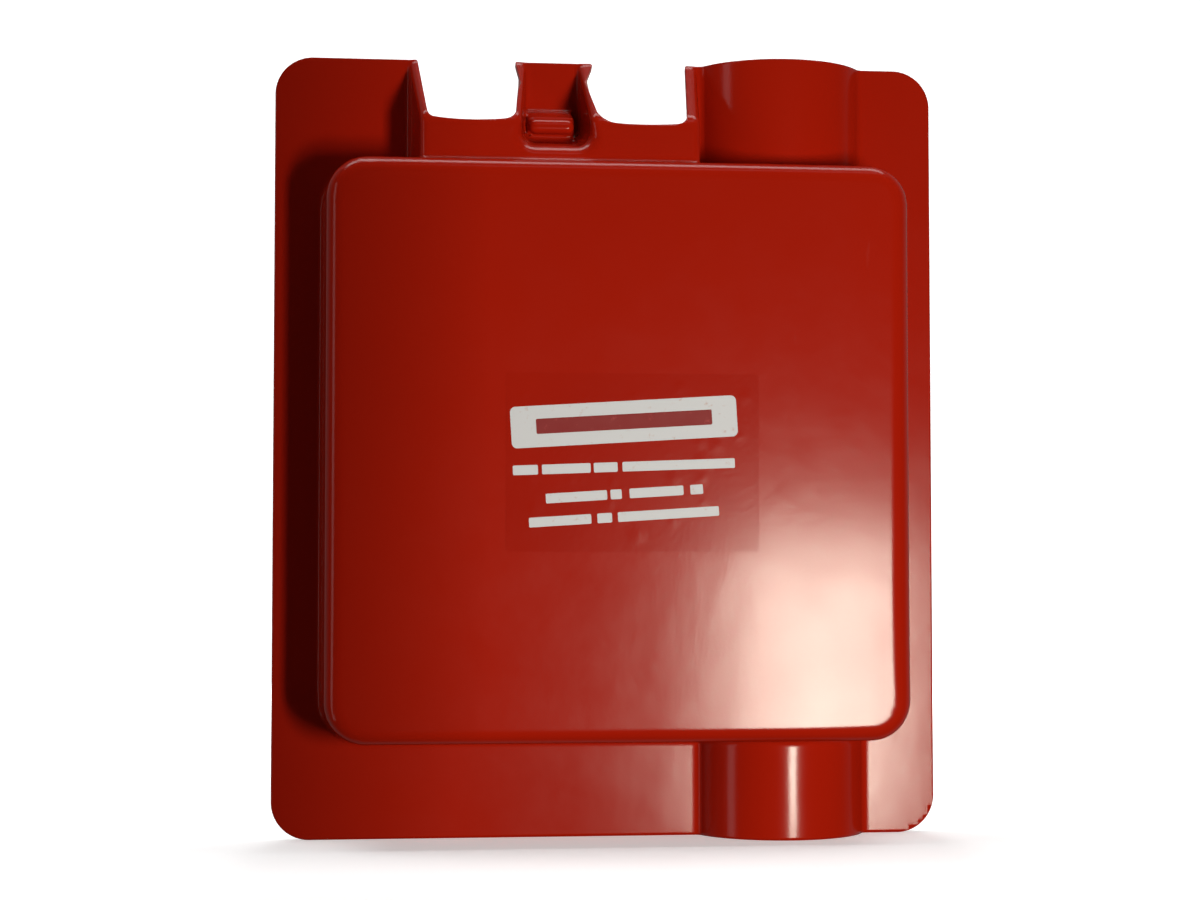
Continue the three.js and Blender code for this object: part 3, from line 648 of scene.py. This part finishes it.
FILM = {"x": 6.1, "y": -8.8, "width": 110.6, "height": 77.4, "corner": 1.2, "turn": 0}
FILM_X, FILM_Y = FILM["width"] / 2, FILM["height"] / 2  # from its middle to its edges
FILM_SKIN, PRINT_SKIN = 0.05, 0.02  # how thick the film and the ink are
PRINT_LIFT = PRINT_SKIN * 1.5  # how far the ink's front stands over the film; the red is printed on the white
FILM_FRONT = BOX_RISE + 0.09
FILM_GRID, PRINT_GRID, CRACK_GRID = 0.8, 0.6, 0.1  # spacing of the points
CRACK = {"x": 13.1, "half_width": 0.14, "top": -34, "taper": 12, "reach": 0.9}
BUBBLE_COUNT = 46
BUBBLE_INSET = 6  # from the film's edge
BUBBLE_HEIGHT = 0.05
BUBBLE_RADII = (0.8, 3.2)

WHITE_PLATE = {"x": 2.3, "y": 8.9, "width": 99, "height": 18, "corner": 2.4, "turn": 3.47}
RED_BAR = {**WHITE_PLATE, "width": 77, "height": 6.6, "corner": 0.6}
BAR_HEIGHT, BAR_CORNER = 4.2, 0.5
# Each row of print: where it starts and ends, and the share of its length that each bar covers.
PRINT_ROWS = [
    ((-46.2, -12.5), (50.8, -8.8), [(0, 0.112), (0.13, 0.348), (0.362, 0.469), (0.491, 1)]),
    ((-31.9, -24.6), (36.7, -20.2), [(0, 0.388), (0.41, 0.481), (0.531, 0.875), (0.919, 1)]),
    ((-39.2, -35.0), (43.7, -29.7), [(0, 0.326), (0.358, 0.435), (0.466, 1)]),
]


def bubble_places():
    """Air trapped under the film: rows of x, y, radius and height."""
    draw = np.random.default_rng(5)
    x = FILM["x"] + draw.uniform(BUBBLE_INSET - FILM_X, FILM_X - BUBBLE_INSET, BUBBLE_COUNT)
    y = FILM["y"] + draw.uniform(BUBBLE_INSET - FILM_Y, FILM_Y - BUBBLE_INSET, BUBBLE_COUNT)
    radius = draw.uniform(*BUBBLE_RADII, BUBBLE_COUNT)
    return np.stack([x, y, radius, BUBBLE_HEIGHT * radius / BUBBLE_RADII[1]], axis=1)


BUBBLES = bubble_places()


def film_height(x, y):
    rise = np.zeros_like(x)
    for bubble_x, bubble_y, radius, height in BUBBLES:
        rise = np.maximum(rise, height * np.exp(-((x - bubble_x) ** 2 + (y - bubble_y) ** 2) / radius**2))
    return FILM_FRONT + rise


def patch(name, xs, ys, outside, lift, skin, material):
    """A thin sheet lying on the film: a grid trimmed by outside(x, y), lifted off the film's front."""
    points, triangles = trimmed(*flat_grid(xs, ys), outside)
    points[:, 2] = film_height(points[:, 0], points[:, 1]) + lift
    points, faces, _ = thickened(points, triangles, FORWARD, skin)
    sheet = mesh_object(name, place(points + (0, 0, FLANGE_FRONT)), faces, material)
    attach(sheet, "cover")
    return sheet


def outside_bar(bar):
    turn = math.radians(bar["turn"])

    def outside(x, y):
        past_x, past_y = x - bar["x"], y - bar["y"]
        along = past_x * math.cos(turn) + past_y * math.sin(turn)
        across = past_y * math.cos(turn) - past_x * math.sin(turn)
        return rounded_rectangle(along, across, bar["width"] / 2, bar["height"] / 2, bar["corner"])

    return outside


def outside_film(x, y):
    """Positive beyond the film and inside the crack in its lower edge."""
    wander = 0.35 * np.sin(y / 2.3) + 0.15 * np.sin(y / 0.7)  # how far the crack strays from its line
    taper = np.clip((CRACK["top"] - y) / CRACK["taper"], 0, 1)
    crack = CRACK["half_width"] * taper - np.abs(x - CRACK["x"] - wander)
    return np.maximum(outside_bar(FILM)(x, y), crack)


def print_bar(name, bar, lift, material):
    half_width = bar["width"] / 2
    reach = bar["height"] / 2 + half_width * math.sin(math.radians(bar["turn"])) + 1
    low, high = bar["x"] - half_width - 2 * PRINT_GRID, bar["x"] + half_width + 3 * PRINT_GRID
    xs = np.arange(low, high, PRINT_GRID)
    ys = np.arange(bar["y"] - reach, bar["y"] + reach + PRINT_GRID, PRINT_GRID)
    patch(name, xs, ys, outside_bar(bar), lift, PRINT_SKIN, material)


def row_bars():
    """The name and the shape of every bar that stands for a word of the instructions."""
    for row, (start, end, shares) in enumerate(PRINT_ROWS):
        start, end = np.array(start), np.array(end)
        run = end - start
        for word, (share_from, share_to) in enumerate(shares):
            middle = start + run * (share_from + share_to) / 2
            bar = {"x": middle[0], "y": middle[1], "width": np.linalg.norm(run) * (share_to - share_from)}
            bar.update(height=BAR_HEIGHT, corner=BAR_CORNER, turn=math.degrees(math.atan2(run[1], run[0])))
            yield f"print_row_{row + 1}_{word + 1}", bar


def film_material():
    """Thin red vinyl, a shade duller than the sheet under it."""
    m = Nodes("label_film")
    tone = m.noise(30, 3)
    m.colour(tone, (0.29, 0.0074, 0.0016), (0.32, 0.0092, 0.0022))
    m.set(Roughness=m.ramp(m.noise(70, 4, 0.6), 0.15, 0.18), Specular_IOR_Level=0.12)
    return m.bumped(m.noise(420, 3, 0.6), 0.12, 0.0002)


def ink(name, first, second):
    """Screen-printed ink: thin spots show as specks, and its edge is slightly raised."""
    m = Nodes(name)
    worn = m.ramp(m.noise(260, 6, 0.7), 0, 1, 0.6, 0.72)
    m.colour(worn, first, second, Roughness=m.ramp(m.noise(120, 3), 0.45, 0.6))
    m.set(Specular_IOR_Level=0.2)
    return m.bumped(m.noise(700, 3, 0.6), 0.15, 0.0001)


def build_label():
    near_crack = (CRACK["x"] - CRACK["reach"], CRACK["x"] + CRACK["reach"], CRACK_GRID)
    xs = grid_lines(FILM["x"] - FILM_X - 1, FILM["x"] + FILM_X + 1, FILM_GRID, [near_crack])
    ys = np.arange(FILM["y"] - FILM_Y - FILM_GRID, FILM["y"] + FILM_Y + 2 * FILM_GRID, FILM_GRID)
    film = patch("label_sheet", xs, ys, outside_film, 0, FILM_SKIN, film_material())
    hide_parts("label_film")
    white = ink("white_ink", (0.55, 0.56, 0.62), (0.47, 0.34, 0.34))
    red = ink("red_ink", (0.20, 0.006, 0.008), (0.30, 0.03, 0.03))
    print_bar("print_plate", WHITE_PLATE, PRINT_LIFT, white)
    print_bar("print_heading", RED_BAR, PRINT_LIFT * 2, red)
    for name, bar in row_bars():
        print_bar(name, bar, PRINT_LIFT, white)


# ---- ways to make a solid

AXIS_ORDER = {"x": (2, 0, 1), "y": (1, 2, 0), "z": (0, 1, 2)}
CUT_PAST = 5  # how far a cutting tool reaches past the face it opens


def released(work):
    """An object made of a bmesh that is no longer needed."""
    mesh = bpy.data.meshes.new("solid")
    work.to_mesh(mesh)
    work.free()
    return linked("solid", mesh)


def solid_object(points, faces):
    """A closed mesh from front-view points, with doubled points merged and faces turned outwards."""
    work = bmesh.new()
    corners = [work.verts.new(point) for point in place(points)]
    for face in faces:
        work.faces.new([corners[n] for n in face])
    bmesh.ops.remove_doubles(work, verts=work.verts, dist=1e-7)
    bmesh.ops.recalc_face_normals(work, faces=work.faces)
    return released(work)


def softened(profile, radius):
    """The closed profile with each corner turned into a small arc; points on the axis stay as they are."""
    profile = np.array(profile, float)
    result = []
    for corner, before, after in zip(profile, np.roll(profile, 1, axis=0), np.roll(profile, -1, axis=0)):
        to_before, to_after = np.linalg.norm(before - corner), np.linalg.norm(after - corner)
        reach = min(radius, 0.45 * to_before, 0.45 * to_after)
        if corner[0] == 0 or reach < 0.01:
            result.append(corner)
            continue
        start = corner + (before - corner) / to_before * reach
        end = corner + (after - corner) / to_after * reach
        result += pulled(start, corner, end, (0, 0.35, 0.65, 1))
    return np.array(result)


def turned(axis, centre, profile, soft=0.2, segments=64):
    """A solid turned about an axis through centre; a profile point is (radius, station along the axis)."""
    loop = softened(profile, soft)
    angle = np.linspace(0, 2 * math.pi, segments, endpoint=False)
    across = loop[:, :1] * np.cos(angle), loop[:, :1] * np.sin(angle)
    along = np.repeat(loop[:, 1:], segments, axis=1)
    points = np.stack([*across, along], axis=2)[..., AXIS_ORDER[axis]] + centre
    faces = []
    for n in range(len(loop)):
        after = (n + 1) % len(loop)
        if loop[n][0] > 0 or loop[after][0] > 0:
            faces += band(n * segments, after * segments, segments)
    return solid_object(points.reshape(-1, 3), faces)


def rod(axis, centre, radius, start, end, soft=0.2, segments=64):
    return turned(axis, centre, [(0, start), (radius, start), (radius, end), (0, end)], soft, segments)


def ring(axis, centre, inner, outer, start, end, soft=0.2):
    return turned(axis, centre, [(inner, start), (outer, start), (outer, end), (inner, end)], soft)


def sphere(centre, radius, steps=24):
    arc = [(radius * math.cos(a), radius * math.sin(a)) for a in np.linspace(-1.5, 1.5, steps)]
    return turned("z", centre, [(0, -radius), *arc, (0, radius)], 0)


def threaded_rod(axis, centre, radius, start, end, pitch=0.8, depth=0.3):
    """A rod with the crests and roots of a thread."""
    profile = [(0, start), (radius - depth, start)]
    crests = int((end - start - pitch) / pitch)
    for n in range(crests):
        profile += [(radius, start + (n + 0.75) * pitch), (radius - depth, start + (n + 1.25) * pitch)]
    profile += [(radius - depth, end), (0, end)]
    return turned(axis, centre, profile, 0, 40)


def block(low, high):
    corners = [(x, y, z) for x in (low[0], high[0]) for y in (low[1], high[1]) for z in (low[2], high[2])]
    faces = [(0, 1, 3, 2), (4, 6, 7, 5), (0, 4, 5, 1), (2, 3, 7, 6), (0, 2, 6, 4), (1, 5, 7, 3)]
    return solid_object(corners, faces)


def baked(piece):
    """The piece with its modifiers applied."""
    mesh = bpy.data.meshes.new_from_object(piece.evaluated_get(bpy.context.evaluated_depsgraph_get()))
    piece.modifiers.clear()
    piece.data = mesh
    return piece


def combined(operation, body, *tools):
    """The body joined with, cut by or kept inside each tool in turn; the tools are used up."""
    for tool in tools:
        step = body.modifiers.new(operation, "BOOLEAN")
        step.operation = operation
        step.solver = "MANIFOLD"
        step.object = tool
    baked(body)
    for tool in tools:
        bpy.data.objects.remove(tool)
    return body


def joined(body, *others):
    return combined("UNION", body, *others)


def cut(body, *tools):
    return combined("DIFFERENCE", body, *tools)


def bevelled(piece, width):
    step = piece.modifiers.new("bevel", "BEVEL")
    step.width = width * MM
    step.segments = 2
    step.limit_method = "ANGLE"
    step.angle_limit = math.radians(40)
    return baked(piece)


def hexagon(axis, centre, flats, start, end):
    """A hexagon bar with its corners chamfered by 30 degrees at both ends."""
    rise = 0.577  # the tangent of 30 degrees
    corner = flats / math.sqrt(3)
    slope = (corner - flats / 2) * rise
    clear = corner + 0.05
    barrel = [(0, start), (flats / 2, start), (clear, start + slope)]
    barrel += [(clear, end - slope), (flats / 2, end), (0, end)]
    bar = rod(axis, centre, corner, start, end, 0, 6)
    return combined("INTERSECT", bar, turned(axis, centre, barrel, 0, 48))


def refined(node, width):
    """The CAD node's shape with its flat faces cleaned up and its edges broken."""
    work = bmesh.new()
    work.from_mesh(frame["nodes"][node].data)
    work.transform(frame["nodes"][node].matrix_world)
    bmesh.ops.remove_doubles(work, verts=work.verts, dist=1e-6)
    bmesh.ops.dissolve_limit(work, angle_limit=math.radians(1), verts=work.verts, edges=work.edges)
    return bevelled(released(work), width)


def smooth_line(path):
    """A smooth line through the points of the path."""
    path = np.array(path, float)
    knots = np.concatenate([[2 * path[0] - path[1]], path, [2 * path[-1] - path[-2]]])
    line = [path[0]]
    for a, b, c, d in zip(knots, knots[1:], knots[2:], knots[3:]):
        for t in np.linspace(0, 1, 9)[1:]:
            bend = (2 * a - 5 * b + 4 * c - d) * t**2 + (3 * b - a - 3 * c + d) * t**3
            line.append(0.5 * (2 * b + (c - a) * t + bend))
    return np.array(line)


def swept(path, radius, sides=16):
    """A round wire along a smooth path that lies in a level plane."""
    line = smooth_line(path)
    ahead = np.gradient(line, axis=0)
    side = np.cross(ahead / np.linalg.norm(ahead, axis=1)[:, None], UP)
    angle = np.linspace(0, 2 * math.pi, sides, endpoint=False)
    points = [p + radius * (math.cos(a) * s + math.sin(a) * UP) for p, s in zip(line, side) for a in angle]
    last = len(points) - sides
    faces = [face for here in range(0, last, sides) for face in band(here, here + sides, sides)]
    return solid_object(points, [*faces, range(sides), range(last, len(points))])


def finished(piece, node, materials):
    piece.name = node + "_fine"
    piece.data.name = piece.name
    piece.data.materials.clear()
    piece.data.materials.append(materials[NODE_SLOT[node]])
    piece.data.shade_smooth()
    piece.data.set_sharp_from_angle(angle=math.radians(32))
    weighting = piece.modifiers.new("normals", "WEIGHTED_NORMAL")
    weighting.keep_sharp = True
    stands_for(baked(piece), node)


# ---- the valve behind the cover

GAP = 0.3  # clearance between neighbouring pieces
PORT_Z = 14.3  # height of the port centre line over the wall
VALVE_X, VALVE_Y, VALVE_FRONT = -26.5, 30, 26.3
VALVE_CENTRE = (VALVE_X, VALVE_Y, PORT_Z)
STEM_AXIS = (VALVE_X, VALVE_Y, 0)  # stations on it are counted from the wall
SIDES = {"inlet": -1, "outlet": 1}
PORT_BORE = 3
BALL_RADIUS = 6.5
STEM_RADIUS, STEM_THREAD = 4, 3
GLAND_BORE, GLAND_SHANK = 4.4, 5.7
LEVER_BACK, LEVER_FRONT = 31.4, 34.4
WASHER_FRONT = 35.8
ELBOW_OFFSET, SOCKET_TOP = 38.5, 22  # the socket's place, from the valve's centre
SEAL_Y = -12


def elbow():
    """The outlet's elbow fitting: a threaded end, a hexagon, a bend and a socket that faces up."""
    arm, socket, socket_start = 7, 8, 6
    socket_bore, socket_floor = 6.1, 8
    flats, hex_start, hex_end = 17, 20.3, 25.3
    thread, thread_start, thread_end, pitch, depth = 6.7, 9.3, 20.9, 1.3, 0.5
    corner = (VALVE_X + ELBOW_OFFSET, VALVE_Y, PORT_Z)
    # The arms and bores differ by a hair from the bend, so that no two surfaces coincide.
    body = joined(
        rod("x", VALVE_CENTRE, arm, hex_start + 1, ELBOW_OFFSET, 0),
        sphere(corner, arm + 0.05),
        rod("y", corner, arm - 0.03, 0.2, 12, 0, 60),
        rod("y", corner, socket, socket_start, SOCKET_TOP, 0.6),
        hexagon("x", VALVE_CENTRE, flats, hex_start, hex_end),
        threaded_rod("x", VALVE_CENTRE, thread, thread_start, thread_end, pitch, depth),
    )
    return cut(
        body,
        rod("x", VALVE_CENTRE, PORT_BORE, 0, ELBOW_OFFSET + 0.9, 0, 32),
        rod("y", corner, PORT_BORE - 0.07, -0.6, 12, 0, 30),
        rod("y", corner, socket_bore, socket_floor, SOCKET_TOP + 8, 0, 60),
    )


def mirrored(piece):
    """The same solid on the other side of the valve."""
    points = [(2 * VALVE_X - v.co.x / MM, v.co.z / MM, -v.co.y / MM) for v in piece.data.vertices]
    return solid_object(points, [list(face.vertices) for face in piece.data.polygons])


def valve_ball():
    """A ball with a straight bore, one side bore and a slot for the stem's tongue."""
    half_width, half_length, floor = 1.8, 9, 4.1
    past = BALL_RADIUS + 1.5
    x, y, z = VALVE_CENTRE
    slot = block((x - half_width, y - half_length, z + floor), (x + half_width, y + half_length, z + past))
    straight = rod("x", VALVE_CENTRE, PORT_BORE, -past, past, 0, 40)
    side = rod("y", VALVE_CENTRE, PORT_BORE, 0, past, 0, 40)
    return bevelled(cut(sphere(VALVE_CENTRE, BALL_RADIUS, 33), straight, side, slot), 0.15)


def seat_ring(side):
    """A soft ring that cups the ball; side is -1 for the inlet and +1 for the outlet."""
    bore, outer, start, end = 3.4, 6.7, 4.6, 9
    near, far = sorted((side * start, side * end))
    return cut(ring("x", VALVE_CENTRE, bore, outer, near, far), sphere(VALVE_CENTRE, BALL_RADIUS + GAP))


def valve_stem():
    """A tongue for the ball's slot, a shank, a square for the lever and a thread for the nut."""
    tongue, half, tongue_start, shank_start = 1.5, 3, PORT_Z + 4.4, PORT_Z + 6.8
    square_end, thread_end = 34.2, 43
    x, y = VALVE_X, VALVE_Y
    square = block((x - half, y - half, LEVER_BACK - 1), (x + half, y + half, square_end))
    return joined(
        rod("z", STEM_AXIS, STEM_RADIUS, shank_start, LEVER_BACK - GAP, 0.3),
        block((x - tongue, y - half, tongue_start), (x + tongue, y + half, shank_start + 1)),
        bevelled(square, 0.3),
        threaded_rod("z", STEM_AXIS, STEM_THREAD, square_end - 1, thread_end),
    )


def gland_nut():
    flats, head_height, depth = 17, 4.2, 2.4
    seat = VALVE_FRONT + GAP
    head = hexagon("z", STEM_AXIS, flats, seat, seat + head_height)
    shank = threaded_rod("z", STEM_AXIS, GLAND_SHANK, VALVE_FRONT - depth, VALVE_FRONT + 1)
    return cut(joined(head, shank), rod("z", STEM_AXIS, GLAND_BORE, 20, 36, 0))


def stem_packing():
    start, end = 22.6, 23.6
    return ring("z", STEM_AXIS, GLAND_BORE, GLAND_SHANK, start, end)


def lever_nut():
    flats, height = 10, 5
    seat = WASHER_FRONT + GAP
    bore = rod("z", STEM_AXIS, STEM_THREAD + GAP, seat - CUT_PAST, seat + height + CUT_PAST, 0)
    return cut(hexagon("z", STEM_AXIS, flats, seat, seat + height), bore)


def lever_washer():
    bore, outer = 4.55, 6.5
    return ring("z", STEM_AXIS, bore, outer, LEVER_FRONT + GAP, WASHER_FRONT, 0.15)


def valve_screw(side):
    """A socket screw on the valve's diagonal; side is +1 for the upper right and -1 for the lower left."""
    across, up = 14.5, 11.5
    shank, head, head_height, socket_flats = 2.3, 4.4, 3, 3.2
    centre = (VALVE_X + side * across, VALVE_Y + side * up, 0)
    seat = VALVE_FRONT + GAP
    body = joined(
        rod("z", centre, head, seat, seat + head_height, 0.4),
        threaded_rod("z", centre, shank, GAP, seat + 0.5),
    )
    return cut(body, hexagon("z", centre, socket_flats, seat + 1, seat + 1 + CUT_PAST))


def stop_pin(x, y):
    radius, embed = 2, 6
    return rod("z", (VALVE_X + x, VALVE_Y + y, 0), radius, VALVE_FRONT - embed, LEVER_FRONT, 0.5)


def silencer():
    """A sintered dome under a hexagon, screwed into the vent port."""
    flats, hex_height, thread, thread_end, pitch, depth = 13, 4, 4.6, 7, 1.1, 0.4
    centre = (VALVE_X, 12.7, PORT_Z)
    dome = [(0, -19), (2.8, -18.9), (4.96, -17), (6.0, -14.6), (6.2, -12), (6.2, -3), (0, -3)]
    return joined(
        hexagon("y", centre, flats, -hex_height, 0),
        turned("y", centre, dome, 0.8),
        threaded_rod("y", centre, thread, -0.5, thread_end, pitch, depth),
    )


def socket_mouth(side):
    return (VALVE_X + side * ELBOW_OFFSET, VALVE_Y + SOCKET_TOP, PORT_Z)


def tube_seal(side):
    radius, wire, down = 5, 0.85, 10.5
    angles = np.linspace(0, 2 * math.pi, 21)[:-1]
    circle = [(radius + wire * math.cos(a), wire * math.sin(a) - down) for a in angles]
    return turned("y", socket_mouth(side), circle, 0)


def release_collar(side):
    """The sliding collar in the mouth of a socket, with the rim that is pressed."""
    inner, outer, rim, rim_back, rim_front, length = 4.1, 5.7, 6.8, 1.6, 3.0, 8
    profile = [(inner, -length), (outer, -length), (outer, rim_back)]
    profile += [(rim, rim_back), (rim, rim_front), (inner, rim_front)]
    return turned("y", socket_mouth(side), profile, 0.35)


def seal_wire(path):
    """A bent wire at the seal's level through points x, z."""
    return swept([(x, SEAL_Y, z) for x, z in path], 0.95)


def seal_tag():
    """The half of the seal that stays on the plate's lug, with its blank tag."""
    wire = seal_wire([(-15.15, 28), (-7, 28), (-2.5, 28.6), (0, 34), (-3.5, 39), (-11.65, 40)])
    tag = bevelled(block((-1, SEAL_Y - 20, 28), (1, SEAL_Y + 1.5, 40)), 0.5)
    panel = bevelled(block((0.7, SEAL_Y - 18, 29.6), (3, SEAL_Y - 4, 38.4)), 0.3)
    return joined(wire, cut(tag, panel))


def seal_shackle():
    """The half of the seal that passes through the lever's hole."""
    return seal_wire([(-15.85, 28), (-19.9, 28.5), (-21.5, 32.9), (-19.5, 38.6), (-12.35, 40)])


def lever_grip():
    """The moulded sleeve, with grooves across its front and back."""
    count, spacing, first, radius, margin = 7, 4.5, 6, 0.9, 3
    low, high = (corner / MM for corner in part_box("lever_grip"))
    middle, half = (low.x + high.x) / 2, (high.x - low.x) / 2 - margin
    grooves = [
        rod("x", (middle, low.z + first + n * spacing, face), radius, -half, half, 0.5, 24)
        for face in (-low.y, -high.y)
        for n in range(count)
    ]
    return cut(refined("lever_grip", 0.3), *grooves)


def fastener_pad(node, rough_side):
    """Hook or loop tape: a rounded slab whose working side, +1 to the front or -1 to the wall, is uneven."""
    corner, spacing, depth = 3, 0.7, 0.28
    low, high = (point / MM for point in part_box(node))
    outline = {"x": (low.x + high.x) / 2, "y": (low.z + high.z) / 2, "corner": corner, "turn": 0}
    outline.update(width=high.x - low.x, height=high.z - low.z)
    xs = np.arange(low.x - spacing, high.x + 2 * spacing, spacing)
    ys = np.arange(low.z - spacing, high.z + 2 * spacing, spacing)
    points, triangles = trimmed(*flat_grid(xs, ys), outside_bar(outline))
    tufts = np.random.default_rng(len(node)).uniform(0, depth, len(points))
    points[:, 2] = -low.y
    points, faces, _ = thickened(points, triangles, FORWARD, high.y - low.y)
    if rough_side > 0:
        points[: len(tufts), 2] -= tufts
    else:
        points[len(tufts) :, 2] += tufts
    return solid_object(points, faces)


def build_mechanism(materials):
    pin_aside, pin_along = 10.4, 12.5
    pieces = {
        "mounting_plate": refined("mounting_plate", 0.35),
        "valve_body": refined("valve_body", 0.3),
        "release_lever": refined("release_lever", 0.45),
        "elbow_outlet": elbow(),
        "valve_screw_upper": valve_screw(1),
        "valve_screw_lower": valve_screw(-1),
        "stop_pin_closed": stop_pin(pin_aside, -pin_along),
        "stop_pin_open": stop_pin(-pin_along, pin_aside),
    }
    pieces["elbow_inlet"] = mirrored(pieces["elbow_outlet"])
    turning = (valve_ball, valve_stem, lever_grip, lever_washer, lever_nut, seal_shackle)
    for builder in (*turning, stem_packing, gland_nut, silencer, seal_tag):
        pieces[builder.__name__] = builder()
    for builder in (seat_ring, tube_seal, release_collar):
        for name, side in SIDES.items():
            pieces[f"{builder.__name__}_{name}"] = builder(side)
    for node, piece in pieces.items():
        finished(piece, node, materials)
    for node in NODE_SLOT:
        if "_pad_" in node:
            finished(fastener_pad(node, 1 if node.startswith("wall") else -1), node, materials)


# ---- stage, light and camera


def build_stage():
    """A white bowl: a level floor that bends up into a wall all round, and glows more away from the part."""
    floor_z = cad_box[0][2]
    centre, radius, bend, height, sides = 0.01, 3.0, 0.8, 5.0, 64
    near, far, near_glow, far_glow = 0.4, 1.4, 0.42, 0.93
    profile = [(centre, floor_z), (radius - bend, floor_z)]
    for angle in np.linspace(0, math.pi / 2, 13)[1:]:
        profile.append((radius - bend + bend * math.sin(angle), floor_z + bend - bend * math.cos(angle)))
    profile.append((radius, floor_z + height))
    turns = np.linspace(0, 2 * math.pi, sides, endpoint=False)
    points = [(r * math.cos(turn), r * math.sin(turn), z) for r, z in profile for turn in turns]
    faces = [range(sides)]
    for inner in range(0, len(points) - sides, sides):
        faces += band(inner + sides, inner, sides)
    m = Nodes("backdrop")
    distance = m.add("VectorMath", {0: m.place()}, operation="LENGTH").outputs["Value"]
    m.colour(m.noise(3), (0.86, 0.86, 0.86), (0.9, 0.9, 0.9), Roughness=0.9)
    m.set(Emission_Color=(1, 1, 1), Emission_Strength=m.ramp(distance, near_glow, far_glow, near, far))
    floor = mesh_object("backdrop", points, faces, m.material)
    floor.data.shade_smooth()
    floor.visible_glossy = False
    floor.visible_diffuse = False
    floor.visible_shadow = False


def area_light(name, place_at, look_at, size, power, colour=(1, 1, 1)):
    light = bpy.data.lights.new(name, "AREA")
    light.shape = "RECTANGLE"
    light.size, light.size_y = size
    light.energy = power
    light.color = colour
    lamp = linked(name, light)
    lamp.location = place_at
    lamp.rotation_euler = (Vector(look_at) - Vector(place_at)).to_track_quat("-Z", "Y").to_euler()
    return lamp


def build_flag():
    """A black card beside the key lamp; its soft shadow darkens the left of the cover."""
    left, right, half_height, front = -0.3, 0.076, 0.5, -0.525
    m = Nodes("flag")
    m.colour(m.noise(20), (0.01, 0.01, 0.01), (0.02, 0.02, 0.02), Roughness=0.9)
    outline = [(left, -half_height), (right, -half_height), (right, half_height), (left, half_height)]
    corners = [(x, front, z) for x, z in outline]
    flag = mesh_object("flag", corners, [(0, 1, 2, 3)], m.material)
    flag.visible_camera = False
    flag.visible_glossy = False
    flag.visible_diffuse = False


def build_lights():
    """A small key lamp low on the right, strips at the left and above for edges, and light from behind."""
    area_light("key", (0.305, -1.05, -0.168), (0, 0, 0), (0.16, 0.27), 11.3, (1, 0.95, 0.8))
    area_light("left_strip", (-1.0, -0.4, 0.0), (-0.13, -0.04, 0), (0.2, 1.2), 1.6)
    area_light("top_strip", (0.25, -0.45, 1.0), (0.05, -0.04, 0.12), (0.6, 0.12), 0.3)
    area_light("backdrop_light", (0, 0.2, 2.4), (0, 1.6, 0.2), (3, 1), 60)
    back_fill = area_light("back_fill", (0.1, 1.2, 0.25), (0, 0, 0), (0.5, 0.5), 9)
    back_fill.visible_camera = False
    back_fill.visible_glossy = False


def build_world():
    """Room light: bright from behind, as from a white backdrop, and dim from the front."""
    from_front, from_back, dim, bright = -0.15, 0.4, 0.02, 0.22
    m = Nodes("studio", bpy.data.worlds)  # its texture space is the direction of view
    depth = m.add("SeparateXYZ", {0: m.add("TexCoord", {}).outputs["Generated"]}).outputs["Y"]
    m.set(Strength=m.ramp(depth, dim, bright, from_front, from_back, "SMOOTHSTEP"), Color=(1, 0.98, 0.96))
    bpy.context.scene.world = m.material


def build_camera():
    focal_pixels, image_width, sensor = 2300, 1200, 36
    place_at = Vector((-119.9, -1039.5, -50.7)) * MM
    look_at = Vector((-3.3, -FLANGE_FRONT, -1.3)) * MM
    data = bpy.data.cameras.new("camera")
    data.sensor_width = sensor
    data.lens = focal_pixels / image_width * sensor
    camera = linked("camera", data)
    camera.location = place_at
    camera.rotation_euler = (look_at - place_at).to_track_quat("-Z", "Y").to_euler()
    bpy.context.scene.camera = camera


build_cover()
build_label()
build_mechanism(node_materials())
build_stage()
build_flag()
build_lights()
build_world()
build_camera()
bpy.context.scene.view_settings.view_transform = "Standard"
